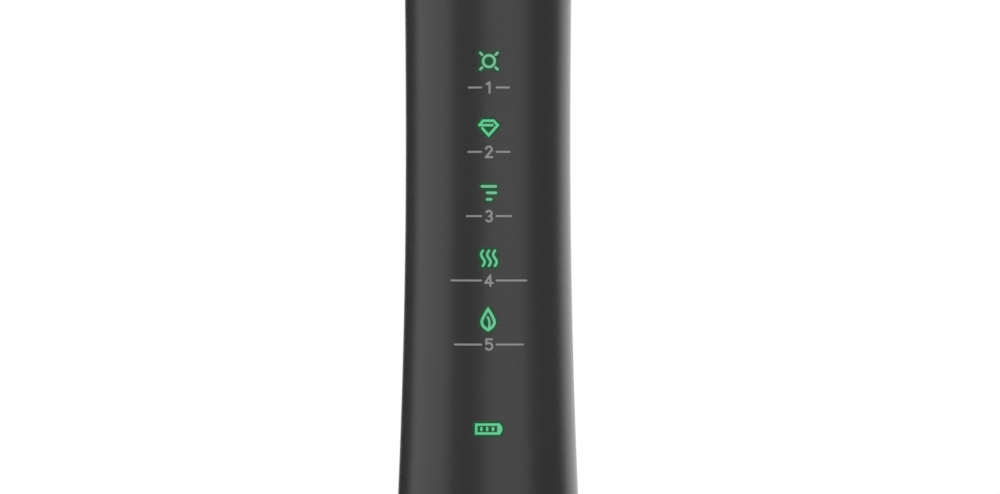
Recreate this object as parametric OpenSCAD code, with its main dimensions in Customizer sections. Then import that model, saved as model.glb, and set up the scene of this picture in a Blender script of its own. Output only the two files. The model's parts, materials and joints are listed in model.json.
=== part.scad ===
// Electric toothbrush standing on its inductive charger.
// Z is up, -Y is the front, and the origin is the centre of the charger's non-slip pad.
// Heights that end in _at are measured from the handle's foot, which stands in the charger's seat.

/* [Handle] */
// Height of the handle, from its foot to its flat nose
handle_h = 182; // [176:1:195]
// Diameter of the handle at its waist
waist_d = 25; // [25:0.5:29]
// Height of the waist
waist_at = 67.5; // [55:0.5:80]
// How much wider the foot is than the waist
foot_flare = 3.7; // [3.4:0.1:6]
// How much wider the grip is than the waist
grip_swell = 1.2; // [0.6:0.1:2.4]
// Height of the widest part of the grip
grip_at = 140; // [130:1:148]
// Diameter of the flat nose around the drive shaft
nose_d = 14.8; // [14:0.1:17]
// Wall of the handle shell at the waist
shell_wall = 1.8; // [1.6:0.1:2.2]
// Depth from the nose down to the ledge that holds the motor
nose_len = 24; // [22:0.5:27]

/* [End cap] */
// Height of the cap's visible rim
cap_rim_h = 3; // [2.5:0.1:5]
// Rounding of the foot's lower edge
foot_edge_r = 1.2; // [0.6:0.1:1.8]
// Wall of the charging recess
recess_wall = 1.5; // [1.3:0.1:1.8]
// Roof over the charging recess
recess_roof = 1.2; // [1:0.1:2]
// Radial step from the shell's bore out to the bore for the plug
plug_step = 1.3; // [1.2:0.1:1.5]
// Wall of the plug
plug_wall = 1.55; // [1.4:0.05:1.8]
// Thickness of the sealing ring
seal_ring_d = 1; // [0.8:0.1:1.2]

/* [Controls] */
// Distance from the middle of the power button up to the motor
button_drop = 13.5; // [13.5:0.5:18]
// Diameter of the power button
button_d = 10; // [8:0.5:11]
// Travel of the power button
button_travel = 0.4; // [0.2:0.05:0.5]
// How far the power button stands proud of the shell
button_proud = 0.35; // [0.2:0.05:0.8]
// Height of the topmost mode light
top_light_at = 79.4; // [77:0.1:82]
// Spacing of the mode lights
light_pitch = 9.73; // [9:0.01:10.2]
// Number of mode lights
light_count = 5; // [3:1:5]
// Height of the battery light
battery_light_at = 24; // [23.5:0.1:28]
// Width of each light block
light_block_w = 4.6; // [3.5:0.1:5]

/* [Power] */
// Diameter of the battery cell
cell_d = 14; // [12:0.1:14.2]
// Length of the battery cell
cell_h = 49.4; // [45:0.1:52]
// Thickness of the nickel tabs
tab_t = 0.3; // [0.2:0.05:0.5]
// Thickness of the foam pad above the cell
pad_t = 1.3; // [0.8:0.1:2]
// Thickness of the main circuit board
board_t = 1; // [0.8:0.1:1.2]

/* [Motor] */
// Length of the motor can
motor_h = 34.5; // [32:0.5:36]
// Thickness of the rubber rings around the motor
damper_t = 1; // [0.8:0.1:1.4]
// Thickness of the rubber cushion above the motor
cushion_t = 2; // [1.5:0.1:3]
// Wall of the motor can
can_wall = 0.8; // [0.6:0.1:1]
// Diameter of the drive shaft
shaft_d = 3.6; // [3:0.1:4]
// Length of the drive shaft beyond the nose
shaft_out = 17; // [14:0.5:19]
// Radius of the rotor's magnets
magnet_r = 4.3; // [3.9:0.1:4.5]

/* [Brush head] */
// Height of the brush head, from its ring to its tip
head_h = 74; // [70:0.5:80]
// Diameter of the head's ring
head_foot_d = 13.4; // [12.6:0.1:14.2]
// Gap between the collar and the head
head_gap = 1; // [0.6:0.1:2]
// Diameter of the neck at its narrowest
neck_d = 6.2; // [5.6:0.1:7]
// Width of the bristle plate
plate_w = 10.8; // [10.4:0.1:12]
// Length of the bristle plate
plate_l = 24; // [23:0.5:27]
// Thickness of the bristle plate
plate_t = 4.8; // [4.4:0.1:6]
// Length of the bristles in the middle of the field
bristle_l = 9.6; // [8:0.1:11]
// How much longer the bristles are at the ends of the field
bristle_rise = 1; // [0:0.1:2]
// Diameter of one tuft
tuft_d = 1.5; // [1.1:0.1:1.5]

/* [Charger] */
// Diameter of the charger
charger_d = 54; // [52:1:64]
// Height of the charger housing, without the pad below it
charger_h = 14.2; // [14:0.1:18]
// Wall of the charger housing
charger_wall = 2; // [1.6:0.1:2.4]
// Rounding of the charger's upper edge
charger_edge_r = 4; // [2:0.1:5]
// Depth of the seat that the handle stands in
seat_depth = 1.6; // [1.2:0.1:2]
// Gap around the handle's foot in the seat
seat_gap = 0.5; // [0.3:0.05:0.8]
// Diameter of the charging post
post_d = 9; // [9:0.1:10]
// Height of the charging post above the seat
post_h = 11; // [9:0.1:12]
// Gap around the charging post in the handle
post_gap = 0.35; // [0.2:0.05:0.5]
// Thickness of the non-slip pad
pad_h = 1.2; // [1:0.1:2]
// Diameter of the cord that the gland takes
cord_d = 3.5; // [3:0.1:4.5]

/* [Hidden] */
$fn = 72;
fit = 0.05;            // clearance of pieces that are put together by hand
loose = 0.2;           // clearance of pieces that slide past each other on the way in
past = 1;              // how far a cut runs past the surface that it opens

// Shell, from the foot up
foot_r = (waist_d + foot_flare) / 2;
grip_r = (waist_d + grip_swell) / 2;
nose_r = nose_d / 2;
nose_power = 2.2;      // how late the shoulder starts to fall
nose_root = 1.8;       // how round the shoulder is where it meets the nose
bore_r = waist_d / 2 - shell_wall;
plug_bore_r = bore_r + plug_step;
shoulder_at = handle_h - nose_len;
ledge_w = 1.9;
shoulder_r = bore_r - ledge_w;

// Collar and shaft seal in the nose
collar_inset = 0.8;
collar_r = nose_r - collar_inset;
collar_w = 2.4;
collar_sunk = 1.8;
collar_proud = 1;
collar_top = handle_h + collar_proud;
collar_edge_r = 0.4;
seal_inset = 1.6;
seal_r = collar_r - seal_inset;
seal_flange_w = 0.8;
seal_flange_r = seal_r + seal_flange_w;
seal_flange_t = 1.2;
seal_h = 5.2;
seal_ledge_at = handle_h - collar_sunk - seal_h;
seal_lip = 1.1;
shaft_r = shaft_d / 2;
seal_gap = 0.06;

// End cap and receiving coil
recess_r = post_d / 2 + post_gap;
recess_spare = 0.6;
recess_depth = post_h + recess_spare;
recess_top = recess_depth + recess_roof;
recess_lead = 0.5;
tube_r = recess_r + recess_wall;
plug_over = 1.2;
plug_top = recess_top + plug_over;
plug_gap = 0.15;
plug_r = plug_bore_r - plug_gap;
plug_in_r = plug_r - plug_wall;
ring_spare = 0.1;
ring_groove = seal_ring_d - ring_spare;
ring_up = 6;
ring_at = cap_rim_h + ring_up;
spool_at = cap_rim_h + fit;
spool_drop = 3;
spool_top = plug_top - spool_drop;
spool_wall = 0.6;
spool_flange = 0.8;
spool_gap = 0.3;
spool_in_r = tube_r + fit;
spool_out_r = plug_in_r - spool_gap;

// Chassis and battery
chassis_r = bore_r - loose;
chassis_foot_h = 2.9;
chassis_play = 0.1;
step_at = plug_top + chassis_foot_h + chassis_play;
cell_r = cell_d / 2;
cell_nub = 0.6;
cell_room_r = cell_r + loose;
pocket_wall = 1;
cell_y = chassis_r - pocket_wall - cell_room_r;
pocket_floor = 4;
pocket_at = step_at + pocket_floor;
cell_at = pocket_at + tab_t;
cell_top = cell_at + cell_h;
pocket_top = cell_top + tab_t + pad_t + chassis_play;
window_w = 8;
tab_w = 5;
board_wall = 1.5;
board_back_y = cell_y - cell_room_r - board_wall;
board_front_y = board_back_y - board_t;
bay_floor = 3.6;
bay_at = pocket_top + bay_floor;
motor_at = shoulder_at - cushion_t - motor_h;
bay_roof = 3.5;
bay_top = motor_at - bay_roof;

// Main board, its screws, its chips and the pins at its ends
board_edge = 0.8;
board_w = 2 * (sqrt(pow(bore_r, 2) - pow(board_front_y, 2)) - board_edge);
board_low = 1.5;
board_high = 4.5;
board_at = step_at + board_low;
board_top = motor_at - board_high;
screw_r = 0.7;
screw_head_r = 1.1;
screw_head_h = 0.6;
screw_slot = 0.3;
screw_l = 3;
screw_edge = 0.4;
screw_x = board_w / 2 - screw_head_r - screw_edge;
screw_low = 4;
screw_high = 3;
screw_heights = [board_at + screw_low, board_top - screw_high];
controller_w = 5;
controller_t = 0.9;
driver_w = 3.9;
driver_h = 4.9;
driver_t = 1.2;
chip_gap = 1.5;
controller_at = bay_at + chip_gap + controller_w / 2;
driver_at = controller_at + controller_w / 2 + chip_gap + driver_h / 2;
pin_r = 0.4;
coil_pin_inset = 0.6;
coil_pin_gap = 1.2;
coil_pin_bend = 1.2;
motor_pin_x = 3;

// Lights
light_heights = concat([battery_light_at], [for (i = [0 : light_count - 1]) top_light_at - i * light_pitch]);
light_block_h = 5.2;
frame_wall = 0.7;
frame_end = 4.5;
light_frame_w = light_block_w + 2 * frame_wall;
light_frame_at = battery_light_at - frame_end;
light_frame_top = top_light_at + frame_end;
led_w = 1.6;
led_h = 0.8;
led_t = 0.6;
coil_pin_x = light_frame_w / 2 + coil_pin_gap;
coil_pin_y = -sqrt(pow(spool_out_r - coil_pin_inset, 2) - pow(coil_pin_x, 2));
coil_pin_top = board_at + coil_pin_bend;

// Switch and button
button_at = motor_at - button_drop;
switch_w = 4.6;
switch_t = 1.4;
switch_front_y = board_front_y - switch_t;
switch_floor = 0.3;
switch_spare = 0.1;
stem_spare = 0.2;
plunger_r = 1;
plunger_tip_y = switch_front_y - stem_spare - button_travel;
plunger_end_y = board_front_y - switch_floor - switch_spare - button_travel;
button_r = button_d / 2;
button_gap = 0.15;
ear_inset = 0.8;
ear_reach = 2.4;
ear_w = button_d - ear_inset;
ear_h = button_d + ear_reach;
ear_t = 0.6;
ear_room_w = ear_w + 2 * loose;
ear_room_h = ear_h + 2 * loose;
ear_wall = 0.9;
ear_room_y = -(sqrt(pow(outer_r(button_at), 2) - pow(ear_room_w / 2, 2)) - ear_wall);
ear_front_y = ear_room_y + fit;
ear_back_y = ear_front_y + ear_t;
stem_r = 1.5;
gasket_t = 0.4;
gasket_r = 4.4;
gasket_gap = 0.1;

// Motor
motor_top = motor_at + motor_h;
damper_play = 0.1;
can_r = bore_r - damper_t - damper_play;
can_in_r = can_r - can_wall;
can_floor = 2;
cover_t = 2.2;
cushion_w = 3.5;
damper_h = 3;
damper_low = 4.5;
damper_high = 5;
damper_heights = [motor_at + damper_low, motor_top - damper_high - damper_h];
bearing_wall = 1.2;
bearing_r = shaft_r + bearing_wall;
bearing_h = 3;
bearing_play = 0.02;
bearing_seat_r = bearing_r + bearing_play;
bearing_proud = 0.4;
cover_bearing_at = motor_top - cover_t - bearing_proud;
stator_low = 8.5;
stator_high = 10;
stator_at = motor_at + stator_low;
stator_top = motor_top - stator_high;
air_gap = 0.4;
coil_w = 1.8;
stator_r = magnet_r + air_gap;
core_in_r = stator_r + coil_w;
tooth_w = 3;
coil_overhang = 1.5;

// Shaft and rotor
shaft_lift = 0.4;
shaft_at = motor_at + shaft_lift;
shaft_top = handle_h + shaft_out;
shaft_edge = 0.3;
flat_len = 12;
flat_depth = 0.5;
groove_depth = 0.35;
clip_t = 0.6;
clip_gap = 0.1;
clip_play = 0.02;
clip_r = bearing_r - clip_gap;
clip_heights = [cover_bearing_at - clip_gap - clip_t, cover_bearing_at + bearing_h + clip_gap];
yoke_wall = 1.1;
yoke_r = shaft_r + yoke_wall;
yoke_inset = 1;
yoke_at = stator_at + yoke_inset;
yoke_top = stator_top - yoke_inset;

// Brush head
head_at = collar_top + head_gap;
head_top = head_at + head_h;
ring_h = 2.5;
ring_w = 1.6;
ring_edge_r = 0.4;
ring_top = head_at + ring_h;
head_foot_r = head_foot_d / 2;
ring_in_r = head_foot_r - ring_w;
head_sunk = 0.6;
neck_inset = 0.15;
neck_r = neck_d / 2;
neck_foot_r = head_foot_r - neck_inset;
neck_plain = 9;
neck_end = 6;
plate_low = head_top - plate_l;
plate_sunk = 0.2;
plate_front_y = -plate_t / 2 - plate_sunk;
plate_r = plate_w / 2;
plate_at = head_top - plate_l / 2;
plate_straight = plate_l / 2 - plate_r;
taper_top = plate_low - neck_plain;
socket_wall = 1.8;
socket_roof = 2;
socket_spare = 0.5;
socket_lead = 0.3;
socket_r = shaft_r + socket_wall;
socket_top = shaft_top + socket_roof;
spring_t = 0.45;
spring_h = 6;
spring_top = ring_top + spring_h;
tuft_r = tuft_d / 2;
tuft_play = 0.04;
hole_depth = 2.4;
row_count = 11;
column_count = 5;
field_edge = 0.85;
field_tip = 2.2;
field_r = plate_r - tuft_r - field_edge;
field_end = plate_l / 2 - field_tip;
column_pitch = 2 * field_r / (column_count - 1);
row_pitch = 2 * field_end / (row_count - 1);

// Charger, from the table up
charger_r = charger_d / 2;
charger_in_r = charger_r - charger_wall;
pad_inset = 2.5;
pad_r = charger_in_r - pad_inset;
pad_sunk = 0.4;
bottom_z = pad_h - pad_sunk;
base_plate_t = 2;
plate_top_z = bottom_z + base_plate_t;
rim_z = bottom_z + charger_h;
seat_z = rim_z - seat_depth;
seat_floor = 2;
seat_under_z = seat_z - seat_floor;
seat_r = foot_r + seat_gap;
seat_lead = 0.6;
post_r = post_d / 2;
post_wall = 1.1;
post_roof = 1.2;
post_edge_r = 1;
post_in_r = post_r - post_wall;
post_top_z = seat_z + post_h;
post_in_top_z = post_top_z - post_roof;
key_w = 1.6;
key_h = 0.7;
key_drop = 2;

// Charger screws, bosses and board
boss_r = 3;
boss_inset = 6;
boss_ring_r = charger_in_r - boss_inset;
boss_angles = [30, 150, 270];
base_screw_r = 1;
base_screw_head_r = 2.1;
base_screw_sunk = 1.4;
base_screw_l = 5.5;
base_screw_spare = 0.7;
base_screw_slot = 0.5;
standoff_r = 2.2;
standoff_h = 3.4;
standoff_inset = 1;
charger_board_gap = 1;
charger_board_z = plate_top_z + standoff_h;
charger_board_t = 1.2;
charger_board_top_z = charger_board_z + charger_board_t;
charger_board_r = boss_ring_r - boss_r - charger_board_gap;

// Components of the charger's board: how far out each lies, and its size
part_ring_r = 10.8;
capacitor_r = 2.5;
capacitor_h = 3.2;
choke_r = 3;
choke_core_r = 1.5;
choke_h = 3.1;
choke_flange = 0.5;
power_chip = [5, 4, 1.4];
terminal = [6.4, 4.4, 3];
terminal_slot_w = 1.8;
terminal_wall = 1;

// Transmitting coil
ferrite_r = 1.95;
bobbin_wall = 0.5;
bobbin_in_r = ferrite_r + fit;
bobbin_r = bobbin_in_r + bobbin_wall;
bobbin_foot_r = 6;
bobbin_play = 0.1;
bobbin_top_z = post_in_top_z - bobbin_play;
bobbin_flange = 0.5;
bobbin_flange_r = post_in_r - bobbin_play;

// Cord gland
gland_up = 6.8;
gland_z = bottom_z + gland_up;
gland_wall = 1.25;
gland_flange_w = 0.95;
gland_flange_t = 1.1;
gland_boss_w = 0.75;
gland_r = cord_d / 2 + gland_wall;
gland_flange_r = gland_r + gland_flange_w;
gland_boss_r = gland_flange_r + gland_boss_w;
gland_proud = 0.6;
gland_boss_y = charger_r + gland_proud;
gland_seat_y = sqrt(pow(charger_in_r, 2) - pow(gland_boss_r, 2)) - 2 * fit;
gland_in_y = gland_seat_y - gland_flange_t;
gland_out_y = gland_boss_y + gland_flange_t;

// ---------- shared shapes ----------

// Smooth step from 0 to 1, level at both ends
function ease(t) = t * t * (3 - 2 * t);

// Outer radius of the handle at height h: a waisted lower part, a swelling grip and a rounded shoulder
function outer_r(h) =
    h < waist_at ? waist_d / 2 + foot_flare / 2 * pow((waist_at - h) / waist_at, 2)
    : h < grip_at ? waist_d / 2 + grip_swell / 2 * ease((h - waist_at) / (grip_at - waist_at))
    : nose_r + (grip_r - nose_r) * pow(1 - pow((h - grip_at) / (handle_h - grip_at), nose_power), 1 / nose_root);

// Heights at which the handle's outline gets a point, closer together towards the nose
function outline_heights(low) = concat(
    [for (i = [0 : 13]) low + i * (waist_at - low) / 14],
    [for (i = [0 : 9]) waist_at + i * (grip_at - waist_at) / 10],
    [for (i = [0 : 16]) grip_at + (handle_h - grip_at) * sin(i * 90 / 16)]);

// The handle's outline from height low up to the nose, or one that stands proud of it
function outline(low, proud = 0) = [for (h = outline_heights(low)) [outer_r(h) + proud, h]];

// Points of an arc about [x, z], from one angle to another
function arc(x, z, r, from, to, steps = 8) =
    [for (i = [0 : steps]) let (a = from + (to - from) * i / steps) [x + r * cos(a), z + r * sin(a)]];

// Moves a piece of the brush from its own heights up onto the charger's seat
module on_seat() {
    translate([0, 0, seat_z]) children();
}

// A solid of revolution about Z, from its half outline
module turned(points) {
    rotate_extrude() polygon(points);
}

// A round bar about Z
module bar(r, low, high) {
    translate([0, 0, low]) cylinder(r = r, h = high - low);
}

// A ring or tube about Z
module tube(outer, inner, low, high) {
    difference() {
        bar(outer, low, high);
        bar(inner, low - past, high + past);
    }
}

// A round bar along Y at x and height h
module bar_y(r, from_y, to_y, h, x = 0) {
    translate([x, to_y, h]) rotate([90, 0, 0]) cylinder(r = r, h = to_y - from_y);
}

// A block along Y that is centred on x and on height h
module block_y(w, from_y, to_y, height, h, x = 0) {
    translate([x - w / 2, from_y, h - height / 2]) cube([w, to_y - from_y, height]);
}

// Repeats a piece at each of the charger's screw bosses
module at_bosses() {
    for (a = boss_angles) rotate([0, 0, a]) translate([boss_ring_r, 0, 0]) children();
}

// ---------- charger ----------

module charger_housing() {
    wall_r = seat_r + charger_wall;
    color("#3a3a3b") difference() {
        union() {
            turned(concat(
                [[charger_r, bottom_z]],
                arc(charger_r - charger_edge_r, rim_z - charger_edge_r, charger_edge_r, 0, 90),
                [[seat_r + seat_lead, rim_z], [seat_r, rim_z - seat_lead], [seat_r, seat_z], [post_r, seat_z]],
                arc(post_r - post_edge_r, post_top_z - post_edge_r, post_edge_r, 0, 90, 4),
                [[0, post_top_z], [0, post_in_top_z], [post_in_r, post_in_top_z], [post_in_r, seat_under_z],
                 [wall_r, seat_under_z], [wall_r, rim_z - charger_wall],
                 [charger_in_r, rim_z - charger_wall], [charger_in_r, bottom_z]]));
            // the key that lets the handle stand one way round
            translate([-key_w / 2, post_r - key_h, seat_z - past])
                cube([key_w, 2 * key_h, post_h - key_drop + past]);
            at_bosses() bar(boss_r, plate_top_z, rim_z - charger_wall / 2);
            bar_y(gland_boss_r, gland_seat_y, gland_boss_y, gland_z);
        }
        at_bosses() bar(base_screw_r + fit, plate_top_z - past, plate_top_z + base_screw_l + base_screw_spare);
        bar_y(gland_r + fit, gland_in_y, gland_boss_y + past, gland_z);
    }
}

module charger_base_plate() {
    color("#2f2f30") difference() {
        union() {
            bar(charger_in_r - loose, bottom_z, plate_top_z);
            for (a = [45 : 90 : 315]) rotate([0, 0, a])
                translate([charger_board_r - standoff_r - standoff_inset, 0, 0])
                    bar(standoff_r, bottom_z + base_plate_t / 2, charger_board_z);
        }
        bar(pad_r + loose, bottom_z - past, bottom_z + pad_sunk);
        at_bosses() {
            bar(base_screw_head_r + fit, bottom_z - past, bottom_z + base_screw_sunk);
            bar(base_screw_r + fit, bottom_z, plate_top_z + past);
        }
    }
}

module charger_pad() {
    color("#1c1c1d") bar(pad_r, 0, pad_h);
}

module charger_screws() {
    head_z = bottom_z + pad_sunk + fit;
    color("silver") at_bosses() difference() {
        union() {
            bar(base_screw_head_r, head_z, bottom_z + base_screw_sunk);
            bar(base_screw_r, head_z, plate_top_z + base_screw_l);
        }
        for (turn = [0, 90]) rotate([0, 0, turn])
            translate([-base_screw_head_r * 0.6, -base_screw_slot / 2, head_z - past])
                cube([base_screw_head_r * 1.2, base_screw_slot, past + base_screw_slot]);
    }
}

module charger_board() {
    color("#1f5a3a") bar(charger_board_r, charger_board_z, charger_board_top_z);
}

// Moves a component of the charger's board out to its place on top of it
module on_charger_board(angle) {
    rotate([0, 0, angle]) translate([part_ring_r, 0, charger_board_top_z]) children();
}

module charger_capacitor() {
    color("#2b3440") on_charger_board(-45) bar(capacitor_r, 0, capacitor_h);
}

module charger_choke() {
    color("#8a5a34") on_charger_board(135) {
        bar(choke_r, 0, choke_flange);
        bar(choke_core_r + fit, 0, choke_h);
        tube(choke_r, choke_core_r, 2 * choke_flange, choke_h - choke_flange);
    }
}

module charger_driver_chip() {
    color("#18181a") on_charger_board(225)
        translate([-power_chip[0] / 2, -power_chip[1] / 2, 0]) cube(power_chip);
}

module cord_terminal() {
    color("#d8d8d2") on_charger_board(90) translate([-terminal[1] / 2, -terminal[0] / 2, 0]) difference() {
        cube([terminal[1], terminal[0], terminal[2]]);
        for (y = [terminal_wall, terminal[0] - terminal_wall - terminal_slot_w])
            translate([-past, y, terminal_wall]) cube([terminal[1] + 2 * past, terminal_slot_w, terminal[2]]);
    }
}

module cord_gland() {
    color("#1c1c1d") difference() {
        union() {
            bar_y(gland_flange_r, gland_in_y, gland_seat_y, gland_z);
            bar_y(gland_r, gland_in_y, gland_out_y, gland_z);
            bar_y(gland_flange_r, gland_boss_y, gland_out_y, gland_z);
        }
        bar_y(cord_d / 2, gland_in_y - past, gland_out_y + past, gland_z);
    }
}

module transmit_bobbin() {
    color("#e6e2d8") {
        tube(bobbin_foot_r, bobbin_in_r, charger_board_top_z, charger_board_top_z + 2 * bobbin_flange);
        tube(bobbin_r, bobbin_in_r, charger_board_top_z, bobbin_top_z);
        tube(bobbin_flange_r, bobbin_in_r, seat_z, seat_z + bobbin_flange);
        tube(bobbin_flange_r, bobbin_in_r, bobbin_top_z - bobbin_flange, bobbin_top_z);
    }
}

module transmit_coil() {
    color("#b4693a") tube(bobbin_flange_r - fit, bobbin_r + fit / 2,
                          seat_z + bobbin_flange + fit, bobbin_top_z - bobbin_flange - fit);
}

module transmit_ferrite() {
    color("#3b3b40") bar(ferrite_r, charger_board_top_z, bobbin_top_z - bobbin_play);
}

// ---------- handle ----------

module handle_shell() {
    seat = handle_h - collar_sunk;
    color("#3d3d3e") on_seat() difference() {
        turned(concat(
            outline(cap_rim_h),
            [[collar_r + fit, handle_h], [collar_r + fit, seat], [seal_r + fit, seat],
             [seal_r + fit, seal_ledge_at], [seal_flange_r + loose, seal_ledge_at],
             [shoulder_r, shoulder_at], [bore_r, shoulder_at],
             [bore_r, step_at], [plug_bore_r, step_at], [plug_bore_r, cap_rim_h]]));
        bar_y(button_r + button_gap, -grip_r - past, -bore_r / 2, button_at);
        block_y(ear_room_w, ear_room_y, -bore_r / 2, ear_room_h, button_at);
    }
}

module end_cap() {
    color("#3d3d3e") on_seat() difference() {
        turned(concat(
            [[recess_r + recess_lead, 0]],
            arc(foot_r - foot_edge_r, foot_edge_r, foot_edge_r, -90, 0),
            [[outer_r(cap_rim_h), cap_rim_h], [plug_r, cap_rim_h],
             [plug_r, ring_at - ring_groove], [plug_r - ring_groove, ring_at - ring_groove],
             [plug_r - ring_groove, ring_at + ring_groove], [plug_r, ring_at + ring_groove],
             [plug_r, plug_top], [plug_in_r, plug_top], [plug_in_r, cap_rim_h],
             [tube_r, cap_rim_h], [tube_r, recess_top], [0, recess_top],
             [0, recess_depth], [recess_r, recess_depth], [recess_r, recess_lead]]));
        // the keyway for the charging post
        translate([-key_w / 2 - loose, 0, -past])
            cube([key_w + 2 * loose, post_r + key_h + post_gap, recess_depth + past]);
    }
}

module end_cap_seal() {
    // it lies in the plug's groove and reaches the shell's bore
    ring_r = seal_ring_d / 2;
    color("#1c1c1d") on_seat() translate([0, 0, ring_at])
        rotate_extrude() translate([plug_bore_r - ring_r - ring_spare / 2, 0]) circle(r = ring_r, $fn = 24);
}

module receive_bobbin() {
    color("#e6e2d8") on_seat() {
        tube(spool_in_r + spool_wall, spool_in_r, spool_at, spool_top);
        for (low = [spool_at, spool_top - spool_flange])
            tube(spool_out_r, spool_in_r, low, low + spool_flange);
    }
}

module receive_coil() {
    color("#b4693a") on_seat()
        tube(spool_out_r - spool_gap, spool_in_r + spool_wall + fit / 2,
             spool_at + spool_flange + fit, spool_top - spool_flange - fit);
}

module coil_pins() {
    // each rises from the bobbin through the chassis and bends back onto the board
    color("#c9a45c") on_seat() for (x = [-coil_pin_x, coil_pin_x]) {
        translate([x, coil_pin_y, 0]) bar(pin_r, spool_top, coil_pin_top + pin_r);
        bar_y(pin_r, coil_pin_y, board_front_y, coil_pin_top, x);
    }
}

module chassis() {
    color("#8f9296") on_seat() difference() {
        union() {
            bar(plug_bore_r - loose, plug_top, plug_top + chassis_foot_h);
            bar(chassis_r, plug_top, motor_at);
        }
        // the flat that carries the board
        translate([-bore_r, board_back_y - bore_r, step_at]) cube([2 * bore_r, bore_r, motor_at]);
        // the cell's pocket and the bay above it, each open at the back
        for (span = [[pocket_at, pocket_top], [bay_at, bay_top]]) {
            translate([0, cell_y, 0]) bar(cell_room_r, span[0], span[1]);
            translate([-window_w / 2, cell_y, span[0]]) cube([window_w, bore_r, span[1] - span[0]]);
        }
        // the window that the board's chips reach through
        block_y(window_w, board_back_y - past, cell_y, bay_top - bay_at, (bay_at + bay_top) / 2);
        // slots that take the cell's tabs to the board
        for (low = [pocket_at, cell_top])
            translate([-tab_w / 2 - fit, board_back_y - past, low])
                cube([tab_w + 2 * fit, cell_y - board_back_y, tab_t + fit]);
        for (x = [-coil_pin_x, coil_pin_x])
            translate([x, coil_pin_y, 0]) bar(pin_r + loose, plug_top - past, step_at + past);
        for (h = screw_heights) for (x = [-screw_x, screw_x])
            bar_y(screw_r + fit, board_back_y - past, board_back_y + screw_l + loose, h, x);
    }
}

module battery_cell() {
    color("#2f6fa8") on_seat() translate([0, cell_y, cell_at]) turned(concat(
        [[0, 0]],
        arc(cell_r - cell_nub, cell_nub, cell_nub, -90, 0, 4),
        arc(cell_r - cell_nub, cell_h - 2 * cell_nub, cell_nub, 0, 90, 4),
        [[cell_r * 0.4, cell_h - cell_nub], [cell_r * 0.4, cell_h], [0, cell_h]]));
}

module battery_tabs() {
    color("#c8c8c4") on_seat() for (low = [pocket_at, cell_top])
        translate([-tab_w / 2, board_back_y, low]) cube([tab_w, cell_y + cell_r * 0.6 - board_back_y, tab_t]);
}

module battery_pad() {
    color("#55565a") on_seat() translate([0, cell_y, 0])
        bar(cell_r - cell_nub, cell_top + tab_t, cell_top + tab_t + pad_t);
}

module main_board() {
    color("#1f5a3a") on_seat() difference() {
        translate([-board_w / 2, board_front_y, board_at]) cube([board_w, board_t, board_top - board_at]);
        for (h = screw_heights) for (x = [-screw_x, screw_x])
            bar_y(screw_r + fit, board_front_y - past, board_back_y + past, h, x);
    }
}

module board_screws() {
    color("silver") on_seat() for (h = screw_heights) for (x = [-screw_x, screw_x]) difference() {
        union() {
            bar_y(screw_head_r, board_front_y - screw_head_h, board_front_y, h, x);
            bar_y(screw_r, board_front_y - screw_head_h, board_back_y + screw_l, h, x);
        }
        block_y(screw_slot, board_front_y - past, board_front_y - screw_head_h / 2, screw_head_r * 1.5, h, x);
    }
}

module mode_leds() {
    color("#f2f2e8") on_seat() for (h = light_heights)
        block_y(led_w, board_front_y - led_t, board_front_y, led_h, h);
}

// How far forward a piece of width w may reach in the shell's bore
function bore_y(w) = loose - sqrt(pow(bore_r, 2) - pow(w / 2, 2));

module light_frame() {
    color("#18181a") on_seat() difference() {
        translate([-light_frame_w / 2, bore_y(light_frame_w), light_frame_at])
            cube([light_frame_w, board_front_y - bore_y(light_frame_w), light_frame_top - light_frame_at]);
        for (h = light_heights)
            block_y(light_block_w + 2 * fit, -bore_r, board_front_y + past, light_block_h + 2 * fit, h);
    }
}

module light_blocks() {
    color("#dfeee6") on_seat() for (h = light_heights)
        block_y(light_block_w, bore_y(light_block_w), board_front_y - led_t - fit, light_block_h, h);
}

module controller_chip() {
    color("#18181a") on_seat()
        block_y(controller_w, board_back_y, board_back_y + controller_t, controller_w, controller_at);
}

module motor_driver_chip() {
    color("#18181a") on_seat()
        block_y(driver_w, board_back_y, board_back_y + driver_t, driver_h, driver_at);
}

module power_switch() {
    color("#2b2b2d") on_seat() difference() {
        block_y(switch_w, switch_front_y, board_front_y, switch_w, button_at);
        bar_y(plunger_r + fit, switch_front_y - past, board_front_y - switch_floor, button_at);
    }
}

module button_gasket() {
    color("#1c1c1d") on_seat() difference() {
        bar_y(gasket_r, switch_front_y - gasket_t, switch_front_y, button_at);
        bar_y(stem_r + gasket_gap, switch_front_y - past, switch_front_y + past, button_at);
    }
}

// ---------- motor ----------

module motor_can() {
    color("#9a9ca0") on_seat() difference() {
        bar(can_r, motor_at, motor_top);
        bar(can_in_r, motor_at + can_floor, motor_top + past);
        bar(bearing_seat_r, motor_at - past, motor_at + can_floor + past);
    }
}

module motor_cover() {
    color("#85878b") on_seat() tube(can_in_r - fit, bearing_seat_r, motor_top - cover_t, motor_top);
}

module motor_bearings() {
    color("#b08a4a") on_seat() for (low = [motor_at, cover_bearing_at])
        tube(bearing_r, shaft_r + fit, low, low + bearing_h);
}

module motor_dampers() {
    color("#1c1c1d") on_seat() for (low = damper_heights)
        tube(bore_r - damper_play, can_r + fit / 2, low, low + damper_h);
}

module motor_cushion() {
    color("#1c1c1d") on_seat() tube(chassis_r, chassis_r - cushion_w, motor_top, shoulder_at);
}

module motor_pins() {
    color("#c9a45c") on_seat() for (x = [-motor_pin_x, motor_pin_x])
        translate([x, (board_front_y + board_back_y) / 2, 0]) bar(pin_r, board_top, motor_at);
}

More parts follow.
